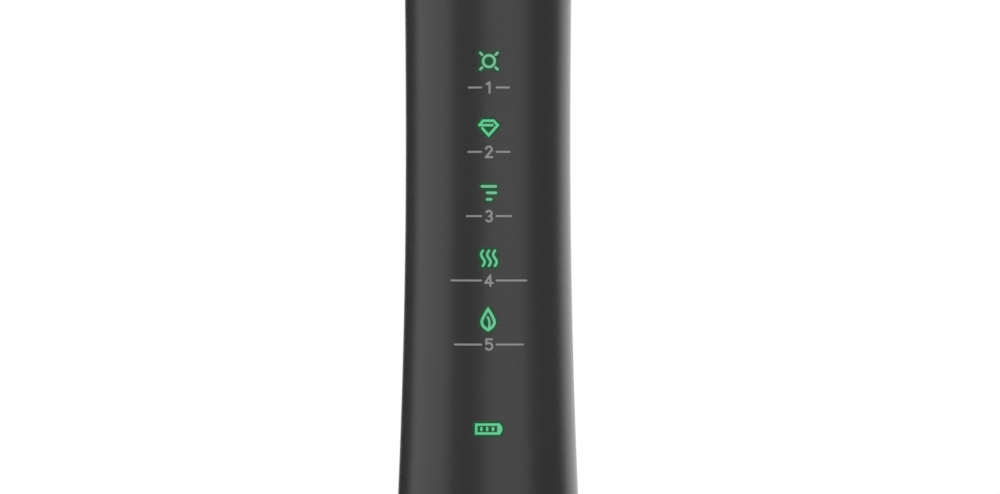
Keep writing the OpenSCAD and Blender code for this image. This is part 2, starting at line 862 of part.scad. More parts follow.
module stator_core() {
    color("#6f7276") on_seat() difference() {
        bar(can_in_r - fit, stator_at, stator_top);
        // the two slots for the coils, with a pole tooth left on each side
        for (side = [-1, 1]) intersection() {
            tube(core_in_r, stator_r, stator_at - past, stator_top + past);
            translate([-core_in_r, side > 0 ? tooth_w / 2 : -tooth_w / 2 - core_in_r, stator_at - past])
                cube([2 * core_in_r, core_in_r, stator_top - stator_at + 2 * past]);
        }
        bar(stator_r, stator_at - past, stator_top + past);
    }
}

module stator_coils() {
    low = stator_at - coil_overhang;
    high = stator_top + coil_overhang;
    color("#b4693a") on_seat() for (side = [-1, 1]) intersection() {
        tube(core_in_r - fit, stator_r + fit, low, high);
        translate([-core_in_r, side > 0 ? tooth_w / 2 + fit : -tooth_w / 2 - fit - core_in_r, low])
            cube([2 * core_in_r, core_in_r, high - low]);
    }
}

module shaft_seal() {
    top = handle_h - collar_sunk - 2 * fit;
    color("#1c1c1d") on_seat() difference() {
        union() {
            bar(seal_r, seal_ledge_at - seal_flange_t, top);
            bar(seal_flange_r, seal_ledge_at - seal_flange_t, seal_ledge_at);
        }
        bar(shaft_r + seal_gap, seal_ledge_at - seal_flange_t - past, top + past);
        // the dished lip
        translate([0, 0, top - seal_lip])
            cylinder(r1 = shaft_r + seal_gap, r2 = shaft_r + 1.5 * seal_lip, h = seal_lip);
    }
}

module nose_collar() {
    color("#a9abae") on_seat() turned(concat(
        [[collar_r - collar_w, handle_h - collar_sunk], [collar_r, handle_h - collar_sunk]],
        arc(collar_r - collar_edge_r, collar_top - collar_edge_r, collar_edge_r, 0, 90, 4),
        [[collar_r - collar_w + collar_edge_r, collar_top], [collar_r - collar_w, collar_top - collar_edge_r]]));
}

// ---------- power button ----------

module power_button() {
    color("#343435") on_seat() {
        intersection() {
            bar_y(button_r, -grip_r - past, ear_front_y + ear_t / 2, button_at);
            turned(concat([[0, 0]], outline(0, button_proud), [[0, handle_h]]));
        }
        block_y(ear_w, ear_front_y, ear_back_y, ear_h, button_at);
        bar_y(stem_r, ear_front_y, plunger_tip_y, button_at);
    }
}

module switch_plunger() {
    color("#d8d8d2") on_seat() bar_y(plunger_r, plunger_tip_y, plunger_end_y, button_at);
}

// ---------- drive ----------

module drive_shaft() {
    color("#c4c6c9") on_seat() difference() {
        turned([[0, shaft_at], [shaft_r, shaft_at], [shaft_r, shaft_top - shaft_edge],
                [shaft_r - shaft_edge, shaft_top], [0, shaft_top]]);
        // the flat that the brush head's socket grips
        translate([-shaft_r, flat_depth - 2 * shaft_r, shaft_top - flat_len])
            cube([2 * shaft_r, shaft_r, flat_len + past]);
        for (h = clip_heights) tube(shaft_r + past, shaft_r - groove_depth, h, h + clip_t);
    }
}

module shaft_clips() {
    color("#8c8e92") on_seat() for (h = clip_heights)
        tube(clip_r, shaft_r - groove_depth + clip_play, h + clip_play, h + clip_t - clip_play);
}

module rotor_yoke() {
    color("#77797d") on_seat() tube(yoke_r, shaft_r, yoke_at, yoke_top);
}

module rotor_magnets() {
    color("#a2a4a8") on_seat() for (a = [-45 : 90 : 225]) intersection() {
        tube(magnet_r, yoke_r, yoke_at, yoke_top);
        rotate([0, 0, a]) translate([fit, fit, yoke_at]) cube([magnet_r, magnet_r, yoke_top - yoke_at]);
    }
}

// ---------- brush head ----------

// Radius of the neck at height h, from the ring up to the plate
function neck_radius(h) =
    neck_foot_r + (neck_r - neck_foot_r) * ease((h - ring_top) / (taper_top - ring_top));

// Whether a tuft at x, and at height up from the plate's middle, lies in the field
function in_field(x, up) = abs(up) < plate_straight || norm([x, abs(up) - plate_straight]) < field_r + fit;

// Every tuft as [x, height, length]: the field's ends stand longer than its middle
tufts = [for (row = [0 : row_count - 1]) for (column = [0 : column_count - 1])
    let (x = (column - (column_count - 1) / 2) * column_pitch,
         up = (row - (row_count - 1) / 2) * row_pitch)
    if (in_field(x, up)) [x, plate_at + up, bristle_l + bristle_rise * pow(up / field_end, 2)]];

// Whether a tuft stands inside the field, where the bristles are coloured
function is_inner(tuft) = abs(tuft[0]) < field_r - column_pitch / 2 && abs(tuft[1] - plate_at) < plate_straight;

// One tuft, or its hole, from its tip back into the plate
module tuft_bar(tuft, r) {
    bar_y(r, plate_front_y - tuft[2], plate_front_y + hole_depth, tuft[1], tuft[0]);
}

module brush_neck() {
    steps = 16;
    color("#3d3d3e") on_seat() difference() {
        union() {
            turned(concat(
                [[0, head_at + head_sunk], [ring_in_r, head_at + head_sunk], [ring_in_r, ring_top]],
                [for (i = [0 : steps]) let (h = ring_top + (taper_top - ring_top) * i / steps) [neck_radius(h), h]],
                [[neck_r, plate_low + neck_end / 3], [neck_r / 2, plate_low + neck_end + 2],
                 [0, plate_low + neck_end + 2]]));
            for (end = [-plate_straight, plate_straight])
                bar_y(plate_r, plate_front_y, plate_front_y + plate_t, plate_at + end);
            block_y(plate_w, plate_front_y, plate_front_y + plate_t, 2 * plate_straight, plate_at);
        }
        bar(socket_r + fit, head_at - past, socket_top + fit);
        bar(socket_r + spring_t + 2 * fit, head_at - past, spring_top);
        for (tuft = tufts) tuft_bar(tuft, tuft_r + tuft_play);
    }
}

module head_ring() {
    in_r = ring_in_r + fit;
    color("#3fae7a") on_seat() turned(concat(
        [[in_r, head_at]],
        arc(head_foot_r - ring_edge_r, head_at + ring_edge_r, ring_edge_r, -90, 0, 4),
        [[head_foot_r, ring_top - neck_inset], [neck_foot_r, ring_top], [in_r, ring_top]]));
}

module shaft_socket() {
    color("#d8d8d2") on_seat() difference() {
        bar(socket_r, head_at + head_sunk, socket_top);
        difference() {
            bar(shaft_r + fit, head_at - past, shaft_top + socket_spare);
            translate([-socket_r, flat_depth - fit - 2 * socket_r - shaft_r, shaft_top - flat_len + socket_lead])
                cube([2 * socket_r, 2 * socket_r, flat_len + past]);
        }
    }
}

module socket_spring() {
    color("#a9abae") on_seat()
        tube(socket_r + fit / 2 + spring_t, socket_r + fit / 2, head_at + head_sunk + loose, spring_top - loose);
}

module outer_tufts() {
    color("#f1f1ee") on_seat() for (tuft = tufts) if (!is_inner(tuft)) tuft_bar(tuft, tuft_r);
}

module inner_tufts() {
    color("#67c795") on_seat() for (tuft = tufts) if (is_inner(tuft)) tuft_bar(tuft, tuft_r);
}

charger_housing();
charger_base_plate();
charger_pad();
charger_screws();
charger_board();
charger_capacitor();
charger_choke();
charger_driver_chip();
cord_terminal();
cord_gland();
transmit_bobbin();
transmit_coil();
transmit_ferrite();
handle_shell();
end_cap();
end_cap_seal();
receive_bobbin();
receive_coil();
coil_pins();
chassis();
battery_cell();
battery_tabs();
battery_pad();
main_board();
board_screws();
mode_leds();
light_frame();
light_blocks();
controller_chip();
motor_driver_chip();
power_switch();
button_gasket();
motor_can();
motor_cover();
motor_bearings();
motor_dampers();
motor_cushion();
motor_pins();
stator_core();
stator_coils();
shaft_seal();
nose_collar();
power_button();
switch_plunger();
drive_shaft();
shaft_clips();
rotor_yoke();
rotor_magnets();
brush_neck();
head_ring();
shaft_socket();
socket_spring();
outer_tufts();
inner_tufts();
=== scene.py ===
"""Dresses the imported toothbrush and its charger, and sets the floor, the light and the camera.

Sizes in the classes are millimetres. Heights on the brush count from the handle's foot, and heights on the
charger from the table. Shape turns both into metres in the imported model's own frame.
"""

import json
import logging
import math
import random
from collections.abc import Callable, Sequence
from dataclasses import dataclass, field
from enum import Enum
from functools import cache

import bmesh
import bpy
import numpy as np
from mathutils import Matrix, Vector


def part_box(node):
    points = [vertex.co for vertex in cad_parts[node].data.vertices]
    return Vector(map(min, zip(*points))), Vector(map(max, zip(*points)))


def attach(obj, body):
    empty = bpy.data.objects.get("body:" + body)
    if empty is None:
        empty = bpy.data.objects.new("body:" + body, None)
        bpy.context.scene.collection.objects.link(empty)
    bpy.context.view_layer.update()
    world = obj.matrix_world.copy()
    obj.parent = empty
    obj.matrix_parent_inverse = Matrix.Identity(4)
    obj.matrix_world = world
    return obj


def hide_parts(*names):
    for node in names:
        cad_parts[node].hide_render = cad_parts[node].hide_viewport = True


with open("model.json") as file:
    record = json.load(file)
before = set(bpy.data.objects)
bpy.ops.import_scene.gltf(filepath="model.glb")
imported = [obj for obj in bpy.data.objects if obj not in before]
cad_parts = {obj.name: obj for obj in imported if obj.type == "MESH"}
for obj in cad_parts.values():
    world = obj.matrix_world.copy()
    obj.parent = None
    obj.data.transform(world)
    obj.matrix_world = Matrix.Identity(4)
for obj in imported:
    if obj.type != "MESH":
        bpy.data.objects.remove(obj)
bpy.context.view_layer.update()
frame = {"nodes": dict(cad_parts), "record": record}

MM = 0.001  # in metres
WELD = 1e-6  # the distance in metres at which two points become one
CREASE = 35.0  # the angle in degrees from which an edge is sharp
MOST_OF_EDGE = 0.49  # the share of an edge that a rounding may take
TABLE = 0.0  # the height that heights on the charger count from
TUFT_ROOT = 2.4  # how deep the solid tufts stand in the head
POST_R = 4.5  # the charging post's radius

Colour = tuple[float, float, float]
Point = tuple[float, float]
Corner = tuple[float, float, float]
Path = list[Point]
Surface = Callable[[float, float], float]
Vertex = bmesh.types.BMVert
Thing = bpy.types.Object

ORIGIN: Corner = (0.0, 0.0, 0.0)
WHITE: Colour = (1.0, 1.0, 1.0)

log = logging.getLogger("toothbrush")


class Body(Enum):
    """The moving bodies that a piece can ride on."""

    CHARGER = "charger"
    HANDLE = "handle"
    BUTTON = "power_button"
    DRIVE = "oscillator"
    HEAD = "brush_head"


class Axis(Enum):
    """The line that a turned shape turns about."""

    UP = "up"
    BACK = "back"


class Cut(Enum):
    """How one shape changes another."""

    AWAY = "DIFFERENCE"
    JOIN = "UNION"


class Lay(Enum):
    """The direction of the fine marks in a metal, as the stretch of its grain along x, y and z."""

    TURNED = (1.0, 1.0, 40.0)
    DRAWN = (30.0, 30.0, 1.0)
    CAST = (6.0, 6.0, 6.0)


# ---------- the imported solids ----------


@dataclass(frozen=True)
class Extent:
    """How far a solid reaches: its lowest and highest x, y and height."""

    x: Point
    y: Point
    h: Point

    @property
    def r(self) -> float:
        """The radius of a solid that is turned about the brush's axis."""
        return self.x[1]

    @property
    def middle(self) -> float:
        """The height of its middle."""
        return (self.h[0] + self.h[1]) / 2


def on_table(node: str, base: float = TABLE) -> Extent:
    """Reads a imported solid's extent to a thousandth of a millimetre, with heights above a base."""
    x, y, z = ((round(low / MM, 3), round(high / MM, 3)) for low, high in zip(*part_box(node)))
    return Extent(x, y, (z[0] - base, z[1] - base))


def on_brush(node: str) -> Extent:
    """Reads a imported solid's extent, with heights above the handle's foot."""
    return on_table(node, FOOT)


FOOT = on_table("end_cap").h[0]
PLATE_FRONT = on_table("outer_tufts").y[1] - TUFT_ROOT


# ---------- shader graphs ----------


def feed(tree: bpy.types.NodeTree, slot: bpy.types.NodeSocket, value: object) -> None:
    """Links a wire to a node's socket, or sets the socket to a plain value.

    Args:
        tree: The tree that holds the node.
        slot: The socket that takes the value.
        value: A Wire, a number, or a colour or vector of three numbers.
    """
    if isinstance(value, Wire):
        tree.links.new(value.socket, slot)
    elif isinstance(value, (int, float)):
        slot.default_value = value
    elif slot.type == "RGBA":
        slot.default_value = (*value, 1.0)
    else:
        slot.default_value = value


class Wire:
    """A node's output. Arithmetic on it adds Math nodes."""

    def __init__(self, tree: bpy.types.NodeTree, socket: bpy.types.NodeSocket) -> None:
        """Keeps the output and the tree that it is in."""
        self.tree = tree
        self.socket = socket

    def _math(self, operation: str, first: "Wire | float", second: "Wire | float") -> "Wire":
        """Adds a Math node.

        Args:
            operation: The node's operation.
            first: Its first value.
            second: Its second value.

        Returns:
            The node's output.
        """
        node = self.tree.nodes.new("ShaderNodeMath")
        node.operation = operation
        feed(self.tree, node.inputs[0], first)
        feed(self.tree, node.inputs[1], second)
        return Wire(self.tree, node.outputs[0])

    def __add__(self, other: "Wire | float") -> "Wire":
        """Self plus other."""
        return self._math("ADD", self, other)

    def __radd__(self, other: float) -> "Wire":
        """Other plus self."""
        return self._math("ADD", other, self)

    def __sub__(self, other: "Wire | float") -> "Wire":
        """Self minus other."""
        return self._math("SUBTRACT", self, other)

    def __rsub__(self, other: float) -> "Wire":
        """Other minus self."""
        return self._math("SUBTRACT", other, self)

    def __mul__(self, other: "Wire | float") -> "Wire":
        """Self times other."""
        return self._math("MULTIPLY", self, other)

    def __rmul__(self, other: float) -> "Wire":
        """Other times self."""
        return self._math("MULTIPLY", other, self)

    def __pow__(self, other: "Wire | float") -> "Wire":
        """Self to the power of other."""
        return self._math("POWER", self, other)

    def __or__(self, other: "Wire | float") -> "Wire":
        """The larger of self and other."""
        return self._math("MAXIMUM", self, other)

    def __gt__(self, other: "Wire | float") -> "Wire":
        """1 where self is above other, and 0 elsewhere."""
        return self._math("GREATER_THAN", self, other)

    def __lt__(self, other: "Wire | float") -> "Wire":
        """1 where self is below other, and 0 elsewhere."""
        return self._math("LESS_THAN", self, other)

    def part(self, name: str) -> "Wire":
        """Another output of the same node."""
        return Wire(self.tree, self.socket.node.outputs[name])


class Graph:
    """The node tree of a material or a world, built from nothing."""

    def __init__(self, owner: bpy.types.Material | bpy.types.World) -> None:
        """Clears a tree and keeps it.

        Args:
            owner: The material or world whose tree it is.
        """
        owner.use_nodes = True
        self.tree = owner.node_tree
        self.tree.nodes.clear()

    def add(self, kind: str, settings: dict[str, object] | None = None,
            sockets: dict[str | int, object] | None = None, output: str | int = 0) -> Wire:
        """Adds any node.

        Args:
            kind: The node's type.
            settings: The node's own settings, which are set first. "stops" are a ramp's stops.
            sockets: The values and links of its inputs.
            output: The output to return.

        Returns:
            The chosen output.
        """
        node = self.tree.nodes.new(kind)
        for name, value in (settings or {}).items():
            if name == "stops":
                for element, (place, level) in zip(node.color_ramp.elements, value):
                    element.position, element.color = place, (level, level, level, 1.0)
            else:
                setattr(node, name, value)
        for name, value in (sockets or {}).items():
            feed(self.tree, node.inputs[name], value)
        return Wire(self.tree, node.outputs[output])

    def end(self, shader: Wire, kind: str = "ShaderNodeOutputMaterial") -> None:
        """Adds the tree's output node and links the shader to it."""
        feed(self.tree, self.tree.nodes.new(kind).inputs["Surface"], shader)

    def noise(self, place: Wire, scale: float, detail: float = 2.0) -> Wire:
        """Adds smooth noise of the given scale."""
        return self.add("ShaderNodeTexNoise", sockets={"Vector": place, "Scale": scale, "Detail": detail})

    def cells(self, place: Wire, scale: float, jumble: float = 1.0) -> Wire:
        """Adds the distance from scattered points."""
        values = {"Vector": place, "Scale": scale, "Randomness": jumble}
        return self.add("ShaderNodeTexVoronoi", sockets=values, output="Distance")

    def stretch(self, place: Wire, by: Colour) -> Wire:
        """Multiplies coordinates by a vector."""
        return self.add("ShaderNodeVectorMath", {"operation": "MULTIPLY"}, {0: place, 1: by})

    def blend(self, mask: Wire, low: "Wire | Colour", high: "Wire | Colour") -> Wire:
        """Goes from one colour to another with a mask."""
        return self.add("ShaderNodeMix", {"data_type": "RGBA"}, {0: mask, 6: low, 7: high}, output=2)

    def mix(self, share: Wire, low: Wire, high: Wire) -> Wire:
        """Goes from one shader to another with a mask."""
        return self.add("ShaderNodeMixShader", sockets={0: share, 1: low, 2: high})

    def bump(self, height: Wire, strength: float, depth: float) -> Wire:
        """Turns a height into a normal, with its depth in metres."""
        return self.add("ShaderNodeBump", sockets={"Height": height, "Strength": strength, "Distance": depth})

    def light(self, level: float) -> Wire:
        """Adds even white light."""
        return self.add("ShaderNodeEmission", sockets={"Color": WHITE, "Strength": level})

    def glow(self) -> Wire:
        """Reads how strongly a lit piece glows, which is kept at its points."""
        return self.add("ShaderNodeAttribute", {"attribute_name": "glow"}, output="Fac")


# ---------- finishes ----------


def shade(colour: Colour, by: float) -> Colour:
    """A colour made lighter or darker by a factor."""
    return (colour[0] * by, colour[1] * by, colour[2] * by)


@dataclass(frozen=True)
class Finish:
    """What every finish has. Its noises have scales per metre, and its bumps have depths in metres."""

    name: str
    colour: Colour
    roughness: float

    def sockets(self, graph: Graph, place: Wire) -> dict[str, object]:
        """Works out the shader's values.

        Args:
            graph: The material's graph.
            place: The place on the piece, in its own coordinates.

        Returns:
            A value or wire for each of the shader's sockets that the finish sets.
        """
        raise NotImplementedError

    def tones(self, graph: Graph, mask: Wire, dark: float, light: float) -> Wire:
        """The finish's colour, from a darker to a lighter shade of it with a mask."""
        return graph.blend(mask, shade(self.colour, dark), shade(self.colour, light))

    def rough(self, mask: Wire, spread: float, middle: float = 0.5) -> Wire:
        """The finish's roughness, spread about its value by a mask."""
        return (mask - middle) * spread + self.roughness


@cache
def material_of(finish: Finish) -> bpy.types.Material:
    """Makes a finish's material, once.

    Args:
        finish: The finish to make it from.

    Returns:
        The material.
    """
    made = bpy.data.materials.new(finish.name)
    graph = Graph(made)
    place = graph.add("ShaderNodeTexCoord", output="Object")
    graph.end(graph.add("ShaderNodeBsdfPrincipled", sockets=finish.sockets(graph, place)))
    return made


@dataclass(frozen=True)
class Moulded(Finish):
    """Moulded plastic: a faint cloudiness, a fine grain, and patches that handling has polished."""

    grain: float = 10000.0
    depth: float = 1.5e-5
    cloud: float = 0.05
    cloud_scale: float = 45.0
    polish: float = 0.04

    def sockets(self, graph: Graph, place: Wire) -> dict[str, object]:
        """Works out the cloudy colour, the patchy roughness and the grain.

        Args:
            graph: The material's graph.
            place: The place on the piece.

        Returns:
            The shader's values and wires.
        """
        clouds = graph.noise(place, self.cloud_scale, 3.0)
        grain = graph.noise(place, self.grain)
        flecks = graph.noise(place, self.grain / 4, 1.0)
        return {
            "Base Color": self.tones(graph, clouds * 0.6 + flecks * 0.4, 1 - self.cloud, 1 + self.cloud),
            "Roughness": (clouds - 0.5) * (2 * self.polish) + self.rough(grain, self.polish),
            "Normal": graph.bump(grain, 0.5, self.depth),
        }


@dataclass(frozen=True)
class Rubber(Finish):
    """Moulded rubber: dull, with a fine grain and a little pale dust in it."""

    dust: float = 0.35
    dust_colour: Colour = (0.11, 0.11, 0.105)
    dust_scale: float = 900.0
    grain: float = 8000.0
    depth: float = 4e-5

    def sockets(self, graph: Graph, place: Wire) -> dict[str, object]:
        """Works out the dusty colour and the grain.

        Args:
            graph: The material's graph.
            place: The place on the piece.

        Returns:
            The shader's values and wires.
        """
        specks = graph.add("ShaderNodeValToRGB", {"stops": [(0.62, 0.0), (0.78, 1.0)]},
                           {"Fac": graph.noise(place, self.dust_scale, 4.0)})
        grain = graph.noise(place, self.grain, 3.0)
        return {
            "Base Color": graph.blend(specks * self.dust, self.colour, self.dust_colour),
            "Roughness": self.rough(grain, 0.12),
            "Normal": graph.bump(grain, 0.6, self.depth),
        }


@dataclass(frozen=True)
class Metal(Finish):
    """Metal with the marks of the tool that made it, and a faint tarnish."""

    lay: Lay = Lay.TURNED
    marks: float = 0.12
    mark_scale: float = 220.0
    mark_depth: float = 2e-5
    tarnish_scale: float = 160.0

    def sockets(self, graph: Graph, place: Wire) -> dict[str, object]:
        """Works out the streaks and the tarnish.

        Args:
            graph: The material's graph.
            place: The place on the piece.

        Returns:
            The shader's values and wires.
        """
        streaks = graph.noise(graph.stretch(place, self.lay.value), self.mark_scale, 4.0)
        tarnish = graph.noise(place, self.tarnish_scale, 3.0)
        return {
            "Metallic": 1.0,
            "Base Color": self.tones(graph, tarnish * 0.5 + streaks * 0.5, 0.86, 1.1),
            "Roughness": (streaks - 0.5) * self.marks + self.rough(tarnish, 0.1),
            "Normal": graph.bump(streaks, 0.35, self.mark_depth),
        }


@dataclass(frozen=True)
class Winding(Finish):
    """Turns of enamelled wire, one above another, with painted shade in the grooves between them and a
    painted highlight on their crests.
    """

    pitch: float = 0.00028
    wire_depth: float = 5e-5

    def sockets(self, graph: Graph, place: Wire) -> dict[str, object]:
        """Works out the turns of wire, and the painted shade and highlight that follow them.

        Args:
            graph: The material's graph.
            place: The place on the piece.

        Returns:
            The shader's values and wires.
        """
        waves_per_scale = 20 / math.tau
        turns = graph.add("ShaderNodeTexWave", {"wave_type": "BANDS", "bands_direction": "Z"},
                          {"Vector": place, "Scale": 1 / (waves_per_scale * self.pitch), "Distortion": 0.6,
                           "Detail": 1.0}).part("Fac")
        tone = graph.noise(graph.stretch(place, (1.0, 1.0, 12.0)), 260.0)
        return {
            "Metallic": 0.85,
            # painted shade in the grooves between turns and a painted highlight on each crest, mixed with a
            # random tone
            "Base Color": self.tones(graph, turns * 0.7 + tone * 0.3, 0.35, 1.15),
            "Roughness": self.rough(tone, 0.15),
            "Normal": graph.bump(turns, 0.8, self.wire_depth),
        }


@dataclass(frozen=True)
class Laminate(Finish):
    """A circuit board: copper tracks that show through the lacquer, and tinned pads."""

    upright: bool = True
    tin: Colour = (0.62, 0.6, 0.55)
    over_copper: Colour = (0.048, 0.195, 0.091)

    def sockets(self, graph: Graph, place: Wire) -> dict[str, object]:
        """Works out the tracks and the pads.

        Args:
            graph: The material's graph.
            place: The place on the piece.

        Returns:
            The shader's values and wires.
        """
        apart = graph.add("ShaderNodeSeparateXYZ", sockets={0: place})
        across = apart.part("Z") if self.upright else apart.part("Y")
        flat = graph.add("ShaderNodeCombineXYZ", sockets={"X": apart.part("X"), "Y": across, "Z": 0.0})
        tracks = graph.add("ShaderNodeTexBrick", {"offset": 0.37, "squash": 0.6},
                           {"Vector": flat, "Scale": 260.0, "Mortar Size": 0.06, "Mortar Smooth": 0.1,
                            "Color1": (0, 0, 0), "Color2": (0, 0, 0), "Mortar": WHITE}).part("Fac")
        pads = graph.cells(flat, 300.0, 0.3) < 0.16
        green = graph.blend(tracks, self.colour, self.over_copper)
        return {
            "Base Color": graph.blend(pads, green, self.tin),
            "Metallic": pads,
            "Roughness": self.rough(graph.noise(place, 500.0), 0.1, middle=0.0),
            "Normal": graph.bump(tracks + pads, 0.6, 3e-5),
        }


@dataclass(frozen=True)
class Wrap(Finish):
    """A shrunk sleeve with small creases. A battery's has a pale band from a height up, in metres."""

    band_from: float = 1.0
    band: Colour = (0.75, 0.76, 0.74)

    def sockets(self, graph: Graph, place: Wire) -> dict[str, object]:
        """Works out the creases and the band.

        Args:
            graph: The material's graph.
            place: The place on the piece.

        Returns:
            The shader's values and wires.
        """
        height = graph.add("ShaderNodeSeparateXYZ", sockets={0: place}, output="Z")
        creases = graph.noise(graph.stretch(place, (3.0, 3.0, 1.0)), 240.0, 4.0)
        skin = self.tones(graph, graph.noise(place, 90.0), 0.88, 1.12)
        return {
            "Base Color": graph.blend(height > self.band_from, skin, self.band),
            "Roughness": self.rough(creases, 0.2),
            "Normal": graph.bump(creases, 0.4, 4e-5),
        }


@dataclass(frozen=True)
class Porous(Finish):
    """Foam or sintered powder: pits of many sizes, with painted shade in them."""

    pores: float = 1500.0
    depth: float = 1.2e-4

    def sockets(self, graph: Graph, place: Wire) -> dict[str, object]:
        """Works out the pits and the painted shade in them.

        Args:
            graph: The material's graph.
            place: The place on the piece.

        Returns:
            The shader's values and wires.
        """
        pits = graph.cells(place, self.pores)
        return {
            # painted shade: darkest in the middle of each pit, lighter towards the rims between them
            "Base Color": self.tones(graph, pits, 0.45, 1.5),
            "Roughness": self.rough(pits, 0.1, middle=0.4),
            "Normal": graph.bump(pits, 0.8, self.depth),
        }


@dataclass(frozen=True)
class Filament(Finish):
    """Nylon bristles: darker at the root as painted shade among the tufts, paler at the tip, and each a
    little different.
    """

    # the colour of the painted shade at the bristles' roots
    root: Colour = (0.4, 0.4, 0.38)
    root_y: float = PLATE_FRONT * MM
    length: float = 0.01

    def sockets(self, graph: Graph, place: Wire) -> dict[str, object]:
        """Works out the strands' own shades, and the painted shade that darkens them from tip to root.

        Args:
            graph: The material's graph.
            place: The place on the piece.

        Returns:
            The shader's values and wires.
        """
        forward = graph.add("ShaderNodeSeparateXYZ", sockets={0: place}, output="Y")
        along = (self.root_y - forward) * (1 / self.length)
        strand = graph.noise(graph.stretch(place, (1.0, 0.02, 1.0)), 5200.0, 1.0)
        return {
            # painted shade: the colour goes from the strands' own tone at the tip to the darker root colour
            # at the plate
            "Base Color": graph.blend(along ** 0.6, self.root, self.tones(graph, strand, 0.86, 1.08)),
            "Roughness": self.rough(strand, 0.15),
            "Subsurface Weight": 0.15,
            "Subsurface Scale": 0.0006,
        }


@dataclass(frozen=True)
class Ink(Finish):
    """A printed mark: flat, a little uneven and thin in places."""

    def sockets(self, graph: Graph, place: Wire) -> dict[str, object]:
        """Works out the unevenness.

        Args:
            graph: The material's graph.
            place: The place on the piece.

        Returns:
            The shader's values and wires.
        """
        wear = graph.noise(place, 1800.0, 4.0)
        return {
            "Base Color": self.tones(graph, wear, 0.9, 1.08),
            "Roughness": self.rough(wear, 0.1),
            "Normal": graph.bump(wear, 0.3, 4e-6),
        }


@dataclass(frozen=True)
class Lamp(Finish):
    """A lit mark: the light is brightest along the middle of each stroke."""

    light: Colour = (0.13, 0.51, 0.275)

    def sockets(self, graph: Graph, place: Wire) -> dict[str, object]:
        """Works out the light along the strokes.

        Args:
            graph: The material's graph.
            place: The place on the piece.

        Returns:
            The shader's values and wires.
        """
        uneven = graph.noise(place, 700.0)
        level = graph.glow() * 0.35 + uneven * 0.2 + 0.55
        return {
            "Base Color": self.tones(graph, uneven, 0.8, 1.0),
            "Roughness": self.rough(uneven, 0.06),
            "Emission Color": graph.blend(level, (0.0, 0.0, 0.0), self.light),
            "Emission Strength": 1.0,
        }


@dataclass(frozen=True)
class Halo(Finish):
    """The light that spreads in the shell's thin wall around a lit mark, and fades out."""

    near_light: Colour = (0.002, 0.081, 0.022)
    far_light: Colour = (0.03, 0.165, 0.072)
    fade: float = 1.6

    def sockets(self, graph: Graph, place: Wire) -> dict[str, object]:
        """Works out the light and how it fades.

        Args:
            graph: The material's graph.
            place: The place on the piece.

        Returns:
            The shader's values and wires.
        """
        near = graph.glow()
        return {
            "Base Color": self.tones(graph, graph.noise(place, 1500.0), 0.8, 1.0),
            "Roughness": self.roughness,
            "Specular IOR Level": 0.15,
            "Emission Color": graph.blend(near, self.far_light, self.near_light),
            "Emission Strength": 1.0,
            "Alpha": near ** self.fade,
        }


@dataclass(frozen=True)
class Milky(Finish):
    """Clear or milky resin that carries light."""

    def sockets(self, graph: Graph, place: Wire) -> dict[str, object]:
        """Works out the faint swirl in the resin.

        Args:
            graph: The material's graph.
            place: The place on the piece.

        Returns:
            The shader's values and wires.
        """
        swirl = graph.noise(place, 380.0, 3.0)
        return {
            "Base Color": self.tones(graph, swirl, 0.9, 1.0),
            "Roughness": self.rough(swirl, 0.1),
            "Subsurface Weight": 0.3,
            "Subsurface Scale": 0.001,
        }


GRAPHITE: Colour = (0.0349, 0.0345, 0.0348)
BOARD: Colour = (0.02, 0.13, 0.07)
CELL_BAND = (on_table("battery_cell").h[1] - 4.0) * MM

